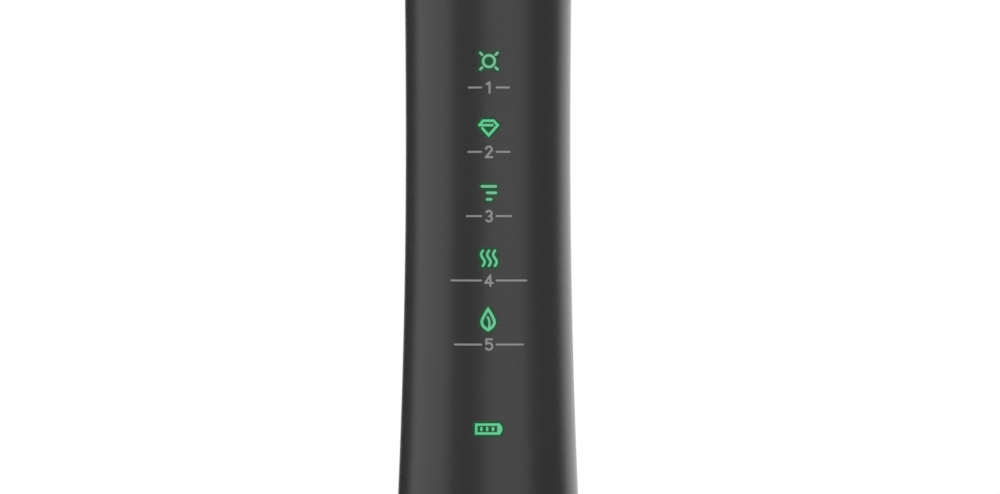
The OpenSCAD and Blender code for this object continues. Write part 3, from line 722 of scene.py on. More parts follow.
FINISHES: dict[str, Finish] = {
    "handle_plastic": Moulded("satin_graphite", GRAPHITE, 0.27, depth=2.8e-5, cloud=0.03, polish=0.02),
    "charger_plastic": Moulded("charger_graphite", GRAPHITE, 0.33, grain=8500.0, depth=3.5e-5),
    "base_plastic": Moulded("eroded_base", (0.028, 0.028, 0.029), 0.55, grain=5000.0, depth=8e-5),
    "grip_rubber": Rubber("pad_rubber", (0.02, 0.02, 0.021), 0.75),
    "seal_rubber": Rubber("seal_rubber_finish", (0.022, 0.022, 0.024), 0.5, dust=0.12),
    "screw_steel": Metal("zinc_screws", (0.55, 0.55, 0.56), 0.34),
    "board_green": Laminate("board_lacquer", BOARD, 0.3),
    "capacitor_sleeve": Wrap("capacitor_wrap", (0.03, 0.05, 0.08), 0.35),
    "chip_black": Moulded("chip_epoxy", (0.012, 0.012, 0.013), 0.55, grain=7000.0, depth=3e-5),
    "enamel_copper": Winding("copper_turns", (0.62, 0.25, 0.12), 0.3),
    "ferrite": Porous("sintered_ferrite", (0.06, 0.06, 0.065), 0.6, pores=2600.0, depth=2e-5),
    "bobbin_nylon": Moulded("natural_nylon", (0.78, 0.75, 0.68), 0.45),
    "terminal_white": Moulded("terminal_nylon", (0.7, 0.7, 0.66), 0.4),
    "pin_gilt": Metal("tinned_brass", (0.75, 0.55, 0.25), 0.3, lay=Lay.DRAWN),
    "chassis_grey": Moulded("filled_nylon", (0.28, 0.29, 0.31), 0.55, grain=6000.0, depth=4e-5, cloud=0.1),
    "cell_wrap": Wrap("cell_sleeve", (0.05, 0.2, 0.48), 0.28, band_from=CELL_BAND),
    "nickel": Metal("nickel_strip", (0.62, 0.61, 0.58), 0.28, lay=Lay.DRAWN),
    "foam": Porous("closed_cell_foam", (0.09, 0.09, 0.1), 0.9),
    "led_white": Milky("lamp_resin", (0.85, 0.86, 0.8), 0.2),
    "mask_black": Moulded("mask_plastic", (0.015, 0.015, 0.016), 0.5),
    "light_guide": Milky("guide_resin", (0.6, 0.8, 0.7), 0.3),
    "switch_black": Moulded("switch_plastic", (0.03, 0.03, 0.032), 0.45),
    "motor_steel": Metal("drawn_can", (0.5, 0.5, 0.52), 0.35, lay=Lay.DRAWN),
    "bronze": Metal("sintered_bronze", (0.55, 0.36, 0.16), 0.42, lay=Lay.CAST),
    "core_steel": Metal("stacked_core", (0.32, 0.33, 0.35), 0.45, marks=0.3),
    "magnet_nickel": Metal("plated_magnet", (0.6, 0.61, 0.62), 0.22, lay=Lay.CAST),
    "shaft_steel": Metal("ground_shaft", (0.62, 0.63, 0.64), 0.2),
    "collar_metal": Metal("satin_collar", (0.42, 0.43, 0.44), 0.3),
    "button_plastic": Moulded("button_graphite", (0.030, 0.030, 0.031), 0.36, depth=2e-5),
    "head_plastic": Moulded("head_graphite", GRAPHITE, 0.3, depth=2e-5),
    "ring_mint": Moulded("mint_ring", (0.05, 0.42, 0.22), 0.3),
    "acetal": Moulded("white_acetal", (0.72, 0.72, 0.68), 0.35),
    # root: the colour of the painted shade at each kind of bristle's roots
    "bristle_white": Filament("white_bristles", (0.87, 0.88, 0.85), 0.35, root=(0.55, 0.55, 0.53)),
    "bristle_mint": Filament("mint_bristles", (0.16, 0.6, 0.36), 0.35, root=(0.06, 0.25, 0.15)),
}
FLAT_BOARD = Laminate("flat_board_lacquer", BOARD, 0.3, upright=False)
LEGEND = Ink("legend_ink", (0.26, 0.26, 0.26), 0.4)
SYMBOL = Ink("symbol_ink", (0.3, 0.3, 0.3), 0.4)
LIT = Lamp("lit_stroke", (0.02, 0.05, 0.035), 0.27)
LIT_KEEN = Lamp("keen_lit_stroke", (0.02, 0.05, 0.035), 0.27, light=(0.115, 0.55, 0.265))
LIT_SOFT = Lamp("soft_lit_stroke", (0.03, 0.05, 0.04), 0.27, light=(0.16, 0.475, 0.285))
LIT_PALE = Lamp("pale_lit_stroke", (0.04, 0.05, 0.045), 0.27, light=(0.21, 0.45, 0.31))
GLOW = Halo("light_in_wall", (0.004, 0.012, 0.007), 0.27)


# ---------- shapes ----------


def ease(t: float) -> float:
    """A smooth step from 0 to 1, level at both ends."""
    t = min(1.0, max(0.0, t))
    return t * t * (3 - 2 * t)


def arc(centre: Point, r: float, start: float, stop: float, steps: int) -> Path:
    """Points along an arc, with its angles in degrees from the first coordinate's axis."""
    turns = [math.radians(start + (stop - start) * i / steps) for i in range(steps + 1)]
    return [(centre[0] + r * math.cos(a), centre[1] + r * math.sin(a)) for a in turns]


def rounded(corners: Sequence[Corner], steps: int = 5, closed: bool = True) -> Path:
    """Rounds an outline's corners.

    Args:
        corners: Each corner's two coordinates, and the radius of its rounding.
        steps: How many faces a rounding has.
        closed: Whether the last corner joins the first.

    Returns:
        The outline's points.
    """
    points: Path = []
    count = len(corners)
    for i, (x, y, radius) in enumerate(corners):
        inner = closed or 0 < i < count - 1
        if radius <= 0 or not inner:
            points.append((x, y))
            continue
        here = Vector((x, y))
        back = Vector(corners[i - 1][:2]) - here
        on = Vector(corners[(i + 1) % count][:2]) - here
        half = back.angle(on) / 2
        reach = min(radius / math.tan(half), MOST_OF_EDGE * back.length, MOST_OF_EDGE * on.length)
        radius = reach * math.tan(half)
        start, stop = here + back.normalized() * reach, here + on.normalized() * reach
        centre = here + (back.normalized() + on.normalized()).normalized() * (radius / math.sin(half))
        a, b = start - centre, stop - centre
        sweep = a.angle_signed(b)
        for k in range(steps + 1):
            turn = -sweep * k / steps
            c, s = math.cos(turn), math.sin(turn)
            points.append((centre.x + a.x * c - a.y * s, centre.y + a.x * s + a.y * c))
    return points


class Shape:
    """A mesh in the making. Its points are in millimetres above its base."""

    def __init__(self, base: float = FOOT) -> None:
        """Starts an empty mesh.

        Args:
            base: The height above the table that its heights count from.
        """
        self.mesh = bmesh.new()
        self.glow = self.mesh.verts.layers.float.new("glow")
        self.base = base

    def point(self, x: float, y: float, h: float) -> Vertex:
        """Adds a point."""
        return self.mesh.verts.new((x * MM, y * MM, (h + self.base) * MM))

    def ring(self, r: float, along: float, segments: int, axis: Axis = Axis.UP,
             at: Corner = ORIGIN) -> list[Vertex]:
        """Adds a circle of points, or one point where the radius is nothing.

        Args:
            r: The circle's radius.
            along: How far along the axis it lies.
            segments: How many points it has. The first is at the front, or at the top.
            axis: The line that it turns about.
            at: Where that line starts.

        Returns:
            The points.
        """
        x, y, h = at
        points = []
        for i in range(segments if r > 0 else 1):
            a = math.tau * i / segments
            u, v = r * math.sin(a), -r * math.cos(a)
            spot = (x + u, y + v, h + along) if axis is Axis.UP else (x + u, y + along, h - v)
            points.append(self.point(*spot))
        return points

    def sheet(self, rows: Sequence[Sequence[Vertex]], around: bool = True, closed: bool = False,
              capped: bool = False, skip: Callable[[int, int], bool] = lambda row, column: False) -> None:
        """Joins rows of points with faces. A row of one point closes the sheet to a tip.

        Args:
            rows: The rows, in order.
            around: Whether each row's last point joins its first.
            closed: Whether the last row joins the first.
            capped: Whether a face closes the first row, and another the last.
            skip: Whether the face after a row and column is left out.
        """
        pairs = [*zip(rows, rows[1:])] + ([(rows[-1], rows[0])] if closed else [])
        for number, (low, high) in enumerate(pairs):
            count = max(len(low), len(high))
            for i in range(count if around else count - 1):
                j = (i + 1) % count
                if count == 1 or skip(number, i):
                    continue
                if len(low) == 1:
                    self.mesh.faces.new((low[0], high[j], high[i]))
                elif len(high) == 1:
                    self.mesh.faces.new((low[i], low[j], high[0]))
                else:
                    self.mesh.faces.new((low[i], low[j], high[j], high[i]))
        for end in (rows[0], rows[-1]) if capped else ():
            self.mesh.faces.new(end)

    def lathe(self, corners: Sequence[Corner], segments: int = 96, axis: Axis = Axis.UP, at: Corner = ORIGIN,
              steps: int = 5) -> None:
        """Turns a closed outline about an axis.

        Args:
            corners: Each corner's radius, place along the axis, and rounding.
            segments: How many faces go round.
            axis: The line that it turns about.
            at: Where that line starts.
            steps: How many faces a rounding has.
        """
        rows = [self.ring(r, along, segments, axis, at) for r, along in rounded(corners, steps)]
        self.sheet(rows, closed=True)

    def plate(self, outline: Sequence[Point], levels: Sequence[Point]) -> None:
        """Stacks copies of an outline along y, and closes both ends.

        Args:
            outline: The outline's points as x and height.
            levels: For each copy, its y and how far its edge lies outside the outline.
        """
        middle = Vector((sum(p[0] for p in outline), sum(p[1] for p in outline))) / len(outline)
        rows = []
        for y, grow in levels:
            row = []
            for i, (x, h) in enumerate(outline):
                before, after = Vector(outline[i - 1]), Vector(outline[(i + 1) % len(outline)])
                out = (after - before).orthogonal().normalized()
                if out.dot(Vector((x, h)) - middle) < 0:
                    out = -out
                row.append(self.point(x + out.x * grow, y, h + out.y * grow))
            rows.append(row)
        self.sheet(rows, capped=True)

    def done(self, name: str, crease: float = CREASE) -> Thing:
        """Turns the mesh into an object.

        Args:
            name: The object's name.
            crease: The angle in degrees from which an edge is sharp.

        Returns:
            The object.
        """
        bmesh.ops.recalc_face_normals(self.mesh, faces=self.mesh.faces)
        mesh = bpy.data.meshes.new(name)
        self.mesh.to_mesh(mesh)
        self.mesh.free()
        smooth(mesh, crease)
        return add_object(name, mesh)


def add_object(name: str, data: bpy.types.ID) -> Thing:
    """Makes an object of a mesh, lamp or camera, and puts it in the scene.

    Args:
        name: The object's name.
        data: What it shows.

    Returns:
        The object.
    """
    thing = bpy.data.objects.new(name, data)
    bpy.context.scene.collection.objects.link(thing)
    return thing


def smooth(mesh: bpy.types.Mesh, crease: float) -> None:
    """Shades a mesh smooth, apart from edges at or above an angle in degrees."""
    mesh.polygons.foreach_set("use_smooth", [True] * len(mesh.polygons))
    mesh.set_sharp_from_angle(angle=math.radians(crease))


def tube(inner: float, outer: float, low: float, high: float, edge: float = 0.0,
         lip: float = 0.0) -> list[Corner]:
    """The outline of a rod or tube, whose outer edge and inner lip may be rounded at its high end."""
    return [(inner, low, 0.0), (outer, low, 0.0), (outer, high, edge), (inner, high, lip)]


def turned(name: str, corners: Sequence[Corner], segments: int = 96, axis: Axis = Axis.UP,
           at: Corner = ORIGIN, base: float = FOOT, steps: int = 5, crease: float = CREASE) -> Thing:
    """Makes an object by turning a closed outline about an axis.

    Args:
        name: The object's name.
        corners: Each corner's radius, place along the axis, and rounding.
        segments: How many faces go round.
        axis: The line that it turns about.
        at: Where that line starts.
        base: The height above the table that its heights count from.
        steps: How many faces a rounding has.
        crease: The angle in degrees from which an edge is sharp.

    Returns:
        The object.
    """
    shape = Shape(base)
    shape.lathe(corners, segments, axis, at, steps)
    return shape.done(name, crease)


def block(name: str, x: Point, y: Point, h: Point, edge: float = 0.0, base: float = FOOT) -> Thing:
    """Makes a block with softened edges.

    Args:
        name: The object's name.
        x: Its extent from left to right.
        y: Its extent from front to back.
        h: Its extent in height.
        edge: The radius of its edges.
        base: The height above the table that its heights count from.

    Returns:
        The object.
    """
    shape = Shape(base)
    corners = ((x[0], y[0]), (x[1], y[0]), (x[1], y[1]), (x[0], y[1]))
    shape.sheet([[shape.point(*corner, level) for corner in corners] for level in h], capped=True)
    if edge:
        bmesh.ops.bevel(shape.mesh, geom=shape.mesh.edges[:], offset=edge * MM, segments=3, affect="EDGES")
    return shape.done(name)


def combine(thing: Thing, tool: Thing, how: Cut, crease: float = CREASE) -> None:
    """Cuts one object out of another, or joins it on, and removes the tool.

    Args:
        thing: The object that changes.
        tool: The object that it is changed with.
        how: The kind of change.
        crease: The angle in degrees from which an edge is sharp.
    """
    modifier = thing.modifiers.new(how.value.lower(), "BOOLEAN")
    modifier.operation, modifier.solver, modifier.object = how.value, "EXACT", tool
    made = bpy.data.meshes.new_from_object(thing.evaluated_get(bpy.context.evaluated_depsgraph_get()))
    thing.modifiers.clear()
    thing.data = made
    bpy.data.objects.remove(tool)
    mesh = bmesh.new()
    mesh.from_mesh(made)
    bmesh.ops.remove_doubles(mesh, verts=mesh.verts, dist=WELD)
    bmesh.ops.dissolve_degenerate(mesh, edges=mesh.edges, dist=WELD)
    mesh.to_mesh(made)
    mesh.free()
    smooth(made, crease)


def dress(thing: Thing, finish: Finish) -> None:
    """Gives an object its finish, in place of what it had."""
    thing.data.materials.clear()
    thing.data.materials.append(material_of(finish))


def place(thing: Thing, body: Body, slot: str, stands_for: Sequence[str] = (),
          finish: Finish | None = None) -> None:
    """Dresses a piece, hands it to its body and reports it.

    Args:
        thing: The piece.
        body: The body that it rides on.
        slot: The record's material slot that it takes its finish from.
        stands_for: The solids that it is shown for.
        finish: Its finish, where that isn't the slot's own.
    """
    dress(thing, finish or FINISHES[slot])
    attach(thing, body.value)
    if stands_for:
        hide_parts(*stands_for)
    log.info("%s: %d faces on %s", thing.name, len(thing.data.polygons), body.value)


# ---------- handle ----------


@dataclass(frozen=True)
class HandleForm:
    """The handle's outline: a waisted lower part, a swelling grip and a rounded shoulder."""

    height: float = on_brush("handle_shell").h[1]
    foot_r: float = on_brush("end_cap").r
    waist_r: float = 12.5
    waist_at: float = 67.5
    grip_r: float = 13.1
    grip_at: float = 140.0
    nose_r: float = on_brush("nose_collar").r + 0.8
    shoulder_power: float = 2.2
    shoulder_root: float = 1.8

    def radius(self, h: float) -> float:
        """Works out the outer radius.

        Args:
            h: The height that it is for.

        Returns:
            The radius there.
        """
        if h < self.waist_at:
            return self.waist_r + (self.foot_r - self.waist_r) * ((self.waist_at - h) / self.waist_at) ** 2
        if h < self.grip_at:
            rise = (h - self.waist_at) / (self.grip_at - self.waist_at)
            return self.waist_r + (self.grip_r - self.waist_r) * ease(rise)
        rise = min(1.0, (h - self.grip_at) / (self.height - self.grip_at))
        fall = (1 - rise**self.shoulder_power) ** (1 / self.shoulder_root)
        return self.nose_r + (self.grip_r - self.nose_r) * fall

    def front(self, x: float, h: float, proud: float = 0.0) -> float:
        """How far forward the surface, or a skin that stands proud of it, lies at x and a height."""
        return -math.sqrt((self.radius(h) + proud) ** 2 - x * x)


@dataclass(frozen=True)
class ButtonForm:
    """The power button's main sizes, which the room for it in the shell follows."""

    r: float = on_brush("power_button").r
    at: float = on_brush("power_button").middle
    ear_w: float = 9.2
    ear_h: float = on_brush("power_button").h[1] - on_brush("power_button").h[0]
    ear_y: Point = (-10.97, -10.37)
    back: float = on_brush("power_button").y[1]


@dataclass(frozen=True)
class Parting:
    """The fine line where the end cap meets the shell."""

    at: float = on_brush("handle_shell").h[0]
    groove: float = 0.12
    deep: float = 0.06
    play: float = 0.02


@dataclass(frozen=True)
class NoseForm:
    """The collar's and the shaft seal's main sizes, which their seats in the shell follow."""

    collar: Extent = on_brush("nose_collar")
    seal: Extent = on_brush("shaft_seal")
    neck_r: float = on_brush("shaft_seal").r - 0.8
    flange: float = 1.2


@dataclass
class HandleShell:
    """The handle's wall, with the hole for the button and the seats in its nose."""

    form: HandleForm = HandleForm()
    button: ButtonForm = ButtonForm()
    parting: Parting = Parting()
    nose: NoseForm = NoseForm()
    segments: int = 144
    bore_r: float = HandleForm.waist_r - 1.8
    plug_bore_r: float = HandleForm.waist_r - 0.5
    step_at: float = on_brush("end_cap").h[1] + 3.0
    shoulder_r: float = 8.8
    shoulder_at: float = on_brush("motor_cushion").h[1]
    nose_lead: float = 0.2
    seat_play: float = 0.05
    flange_play: float = 0.2
    hole_r: float = ButtonForm.r + 0.15
    hole_rim: float = 0.22
    window_h: float = 7.5
    window_rows: int = 14
    window_columns: int = 13
    rows_below: int = 60
    rows_above: int = 20
    rows_round: int = 64
    ear_play: float = 0.2
    ear_front_play: float = 0.05

    def outline(self) -> tuple[Path, int, int]:
        """Works out the shell's closed outline, with even rows beside the button's hole.

        Returns:
            The outline, and the numbers of the first row beside the hole outside and inside.
        """
        form, line = self.form, self.parting
        low, high = self.button.at - self.window_h, self.button.at + self.window_h
        start, open_end = line.at + line.groove, line.at + line.play
        below = np.linspace(start, low, self.rows_below)[:-1]
        beside = np.linspace(low, high, self.window_rows + 1)
        above = np.linspace(high, form.grip_at, self.rows_above)[1:-1]
        turns = np.linspace(0, math.pi / 2, self.rows_round)
        crown = form.grip_at + (form.height - form.grip_at) * np.sin(turns)
        outside = [(form.radius(start) - line.deep, open_end)]
        outside += [(form.radius(h), h) for h in (*below, *beside, *above, *crown)]
        collar, seal, play = self.nose.collar, self.nose.seal, self.seat_play
        seat, seat_r = collar.h[0], collar.r + play
        ledge, throat = seal.h[0] + self.nose.flange, self.nose.neck_r + play
        outside += rounded([
            (form.nose_r - self.nose_lead, form.height, 0), (seat_r, form.height, 0.08), (seat_r, seat, 0),
            (throat, seat, 0), (throat, ledge, 0), (seal.r + self.flange_play, ledge, 0),
            (self.shoulder_r, self.shoulder_at, 0), (self.bore_r, self.shoulder_at, 0.3)], closed=False)
        inside = [(self.bore_r, h) for h in (*reversed(beside), self.step_at)]
        inside += [(self.plug_bore_r, self.step_at), (self.plug_bore_r, open_end)]
        return outside + inside, 1 + len(below), len(outside)

    def _edge(self, rows: Sequence[Sequence[Vertex]]) -> list[Vertex]:
        """Picks the points round a window, anticlockwise from its lower left.

        Args:
            rows: The window's rows, from the lowest.

        Returns:
            The points of its edge.
        """
        columns = [i % self.segments for i in range(-self.window_columns, self.window_columns + 1)]
        low = [rows[0][i] for i in columns]
        right = [row[columns[-1]] for row in rows[1:-1]]
        high = [rows[-1][i] for i in reversed(columns)]
        left = [row[columns[0]] for row in reversed(rows[1:-1])]
        return low + right + high + left

    def _ring(self, shape: Shape, edge: Sequence[Vertex], share: float, r: float,
              depth: Surface) -> list[Vertex]:
        """Adds points on the way from the hole to a window's edge.

        Args:
            shape: The shell.
            edge: The edge of the window.
            share: How far towards the edge they lie, from 0 to 1.
            r: The hole's radius.
            depth: How far forward they lie, at x and a height.

        Returns:
            The points.
        """
        points = []
        for v in edge:
            x, up = v.co.x / MM, v.co.z / MM - self.button.at - FOOT
            a = math.atan2(up, x)
            px = r * math.cos(a) * (1 - share) + x * share
            ph = r * math.sin(a) * (1 - share) + up * share + self.button.at
            points.append(shape.point(px, depth(px, ph), ph))
        return points

    def _hole(self, shape: Shape, outer: Sequence[Vertex], inner: Sequence[Vertex]) -> None:
        """Fills a window with rings of faces round a hole that is round along y and has a rounded rim.

        Args:
            shape: The shell.
            outer: The edge of the window outside.
            inner: The edge of the window inside.
        """

        def bore(x: float, h: float) -> float:
            """How far forward the bore lies."""
            return -math.sqrt(self.bore_r**2 - x * x)

        r, rim, skin = self.hole_r, self.hole_rim, self.form.front
        rows = [list(outer)] + [self._ring(shape, outer, s, r + rim, skin) for s in (0.75, 0.5, 0.25, 0.0)]
        for turn in (30, 60, 90):
            sink, narrow = rim * (1 - math.cos(math.radians(turn))), rim * (1 - math.sin(math.radians(turn)))
            rows.append(self._ring(shape, outer, 0.0, r + narrow, lambda x, h, s=sink: skin(x, h) + s))
        rows += [self._ring(shape, outer, 0.0, r, bore), self._ring(shape, inner, 0.5, r, bore), list(inner)]
        shape.sheet(rows)

    def build(self) -> None:
        """Builds the shell: a turned wall with a clean round hole and room behind it for the button."""
        shape = Shape()
        outline, outside, inside = self.outline()
        rows = [shape.ring(r, h, self.segments) for r, h in outline]
        half, tall = self.window_columns, self.window_rows

        def in_window(row: int, column: int) -> bool:
            """Whether a face lies in the outer or inner window that the hole's own faces fill."""
            beside = column < half or column >= self.segments - half
            return beside and any(first <= row < first + tall for first in (outside, inside))

        shape.sheet(rows, closed=True, skip=in_window)
        self._hole(shape, self._edge(rows[outside:outside + tall + 1]),
                   self._edge(rows[inside:inside + tall + 1][::-1]))
        thing = shape.done("handle_body")
        button, play = self.button, self.ear_play
        wide, high = button.ear_w / 2 + play, button.ear_h / 2 + play
        ears = block("ear_room", (-wide, wide), (button.ear_y[0] - self.ear_front_play, -self.bore_r / 2),
                     (button.at - high, button.at + high))
        combine(thing, ears, Cut.AWAY)
        place(thing, Body.HANDLE, "handle_plastic", ["handle_shell"])


@dataclass
class EndCap:
    """The handle's foot, with the recess that goes over the charging post."""

    form: HandleForm = HandleForm()
    parting: Parting = Parting()
    segments: int = 144
    top: float = on_brush("end_cap").h[1]
    plug_r: float = HandleShell.plug_bore_r - 0.15
    plug_wall: float = 1.55
    seal_at: float = on_brush("end_cap_seal").middle
    seal_w: float = 1.8
    seal_deep: float = 0.9
    recess_r: float = POST_R + 0.35
    recess_top: float = on_brush("charger_housing").h[1] + 0.6
    sleeve_wall: float = 1.5
    roof: float = 1.2
    mouth_lead: float = 0.5
    line_r: float = 9.2
    line_w: float = 1.2
    line_deep: float = 0.35
    line_slope: float = 0.2
    key_w: float = 2.0
    key_deep: float = 0.7

    def build(self) -> None:
        """Builds the cap, with its charging recess and keyway."""
        at, line = self.parting.at, self.parting
        rim, meet = at - line.play, at - line.groove
        low, high = self.seal_at - self.seal_w / 2, self.seal_at + self.seal_w / 2
        edge, inner, seat = self.form.radius(meet), self.plug_r - self.plug_wall, self.plug_r - self.seal_deep
        start, stop = self.line_r - self.line_w / 2, self.line_r + self.line_w / 2
        sleeve, roof = self.recess_r + self.sleeve_wall, self.recess_top + self.roof
        recess, plug, deep, slope = self.recess_r, self.plug_r, self.line_deep, self.line_slope
        mouth, top, ceiling = self.mouth_lead, self.top, self.recess_top
        thing = turned("handle_end_cap", [
            (recess + mouth, 0, 0.15), (start, 0, 0.1), (start + slope, deep, 0.1), (stop - slope, deep, 0.1),
            (stop, 0, 0.1), (self.form.foot_r, 0, 1.2), (edge, meet, 0), (edge - line.deep, rim, 0),
            (plug, rim, 0), (plug, low, 0), (seat, low, 0), (seat, high, 0), (plug, high, 0),
            (plug, top, 0.2), (inner, top, 0.2), (inner, at, 0), (sleeve, at, 0), (sleeve, roof, 0.3),
            (0, roof, 0), (0, ceiling, 0), (recess, ceiling, 0.3), (recess, mouth, 0)], self.segments)
        half = self.key_w / 2
        keyway = block("keyway", (-half, half), (0, recess + self.key_deep), (-1.0, ceiling))
        combine(thing, keyway, Cut.AWAY)
        place(thing, Body.HANDLE, "handle_plastic", ["end_cap"])


@dataclass
class Nose:
    """The collar and the shaft seal round the drive shaft."""

    form: NoseForm = NoseForm()
    collar_w: float = 2.4
    bore: float = on_brush("drive_shaft").r + 0.06
    dish: Point = (3.2, 4.1)
    dish_deep: float = 0.25
    dish_slope: float = 0.2
    lip_sunk: float = 0.1
    lip_deep: float = 1.1

    def collar(self) -> None:
        """Builds the turned metal collar."""
        r = self.form.collar.r
        outline = tube(r - self.collar_w, r, *self.form.collar.h, edge=0.35, lip=0.4)
        place(turned("shaft_collar", outline), Body.HANDLE, "collar_metal", ["nose_collar"])

    def seal(self) -> None:
        """Builds the rubber seal with its dished lip."""
        (low, top), r, neck, bore = self.form.seal.h, self.form.seal.r, self.form.neck_r, self.bore
        ledge, bottom, slope = low + self.form.flange, top - self.dish_deep, self.dish_slope
        dish_in, dish_out = self.dish
        thing = turned("seal_lip", [
            (bore, low, 0), (r, low, 0.2), (r, ledge, 0.1), (neck, ledge, 0), (neck, top, 0.2),
            (dish_out, top, 0.1), (dish_out - slope, bottom, 0.1), (dish_in + slope, bottom, 0.1),
            (dish_in, top - self.lip_sunk, 0.1), (bore, top - self.lip_deep, 0)], 72)
        place(thing, Body.HANDLE, "seal_rubber", ["shaft_seal"])

    def build(self) -> None:
        """Builds both pieces."""
        self.collar()
        self.seal()


# ---------- marks on the handle ----------


@dataclass(frozen=True)
class Stroke:
    """A line of even width, open or closed, in millimetres about its mark's centre."""

    path: tuple[Point, ...]
    width: float = 0.44
    closed: bool = False

    def points(self) -> Path:
        """The path's points, with the first again at the end where it is closed."""
        return [*self.path, self.path[0]] if self.closed else [*self.path]


@dataclass(frozen=True)
class Sign:
    """A lit sign: its height, its strokes with their light, and any paler strokes."""

    h: float
    strokes: tuple[Stroke, ...]
    lamp: Lamp = LIT
    rays: tuple[Stroke, ...] = ()


def bend(start: Point, middle: Point, stop: Point, steps: int = 12) -> Path:
    """A soft bend from one point to another, drawn towards a third."""
    return [tuple(start[k] * (1 - t) ** 2 + 2 * middle[k] * t * (1 - t) + stop[k] * t * t for k in (0, 1))
            for t in (i / steps for i in range(steps + 1))]


@dataclass
class Icons:
    """The drawings of the marks, about their own centres."""

    fine: float = 0.4
    plain: float = 0.41
    wide: float = 0.46
    leaf_aside: float = 0.12
    digit_h: float = 1.58
    digit_w: float = 0.32

    def sun(self) -> tuple[Stroke, ...]:
        """A ring."""
        return (Stroke(tuple(arc((0, 0), 0.87, 0, 352.5, 47)), 0.43, closed=True),)

    def rays(self) -> tuple[Stroke, ...]:
        """Four short rays about the ring."""
        return tuple(Stroke(((x * 1.02, y * 0.97), (x * 1.28, y * 1.22)), self.fine)
                     for x in (-1, 1) for y in (-1, 1))

    def gem(self) -> tuple[Stroke, ...]:
        """A cut stone, with the line of its table."""
        outline = ((-1.4, 0.46), (-0.88, 1.13), (0.7, 1.13), (1.31, 0.46), (-0.03, -1.06), (-0.98, -0.02))
        return Stroke(outline, self.plain), Stroke((outline[0], (0.52, 0.46)), self.plain)

    def bars(self) -> tuple[Stroke, ...]:
        """Three bars of different lengths."""
        ends = ((-1.02, 1.02, 0.97), (-0.24, 1.02, 0.0), (-0.24, 0.3, -0.97))
        return tuple(Stroke(((left, h), (right, h))) for left, right, h in ends)

    def waves(self) -> tuple[Stroke, ...]:
        """Three upright waves."""
        steps, top, length, swing = 24, 1.12, 2.26, 0.26
        return tuple(Stroke(tuple((x - swing * math.sin(math.tau * i / steps), top - length * i / steps)
                                  for i in range(steps + 1)), self.fine) for x in (-0.9, 0.0, 0.9))

    def leaf(self) -> tuple[Stroke, ...]:
        """Draws a leaf with a point on top, wide below its middle, and its rib.

        Returns:
            The leaf's edge and its rib.
        """
        flank = (0.82, 0.1)
        right = bend((0, 1.58), (0.52, 0.75), flank, 8)[:-1] + bend(flank, (1.28, -0.86), (0.0, -1.57))
        edge = [(x - self.leaf_aside, h) for x, h in right + [(-x, h) for x, h in reversed(right[1:-1])]]
        rib = bend((-0.18, 0.34), (0.32, -0.5), (-0.1, -1.5))
        return Stroke(tuple(edge), self.wide, closed=True), Stroke(tuple(rib), 0.36)

    def battery(self) -> tuple[Stroke, ...]:
        """Draws a cell with a rounded nose and three dots of charge.

        Returns:
            The cell's outline, the bar in its nose, and the dots.
        """
        back, shoulder, half, dot = -1.89, 1.5, 0.66, 0.14
        nose = bend((shoulder, half), (2.15, 0.0), (shoulder, -half), 8)
        dots = [Stroke(((x, dot), (x, -dot)), self.fine) for x in (-1.12, -0.26, 0.62)]
        return (Stroke(((back, half), *nose, (back, -half)), self.plain, closed=True),
                Stroke(((1.46, 0.6), (1.46, -0.6)), self.wide), *dots)

    def power(self) -> tuple[Stroke, ...]:
        """A broken ring and a bar."""
        return Stroke(tuple(arc((0, 0), 1.25, 125, 415, 40)), 0.34), Stroke(((0, 1.5), (0, 0.25)), 0.34)

    def numeral(self, digit: int) -> Stroke:
        """Draws a numeral from 1 to 5.

        Args:
            digit: The numeral.

        Returns:
            Its stroke.
        """
        shapes: dict[int, Path] = {
            1: [(-0.2, 0.3), (0.06, 0.5), (0.06, -0.5)],
            2: arc((0, 0.22), 0.28, 165, -20, 14) + [(-0.3, -0.5), (0.32, -0.5)],
            3: arc((0, 0.24), 0.26, 150, -90, 14) + arc((0, -0.24), 0.27, 90, -150, 14)[1:],
            4: [(0.14, -0.5), (0.14, 0.5), (-0.34, -0.22), (0.36, -0.22)],
            5: [(0.28, 0.5), (-0.22, 0.5), (-0.27, 0.06)] + arc((0, -0.17), 0.32, 125, -145, 16),
        }
        return Stroke(tuple((x * self.digit_h, y * self.digit_h) for x, y in shapes[digit]), self.digit_w)


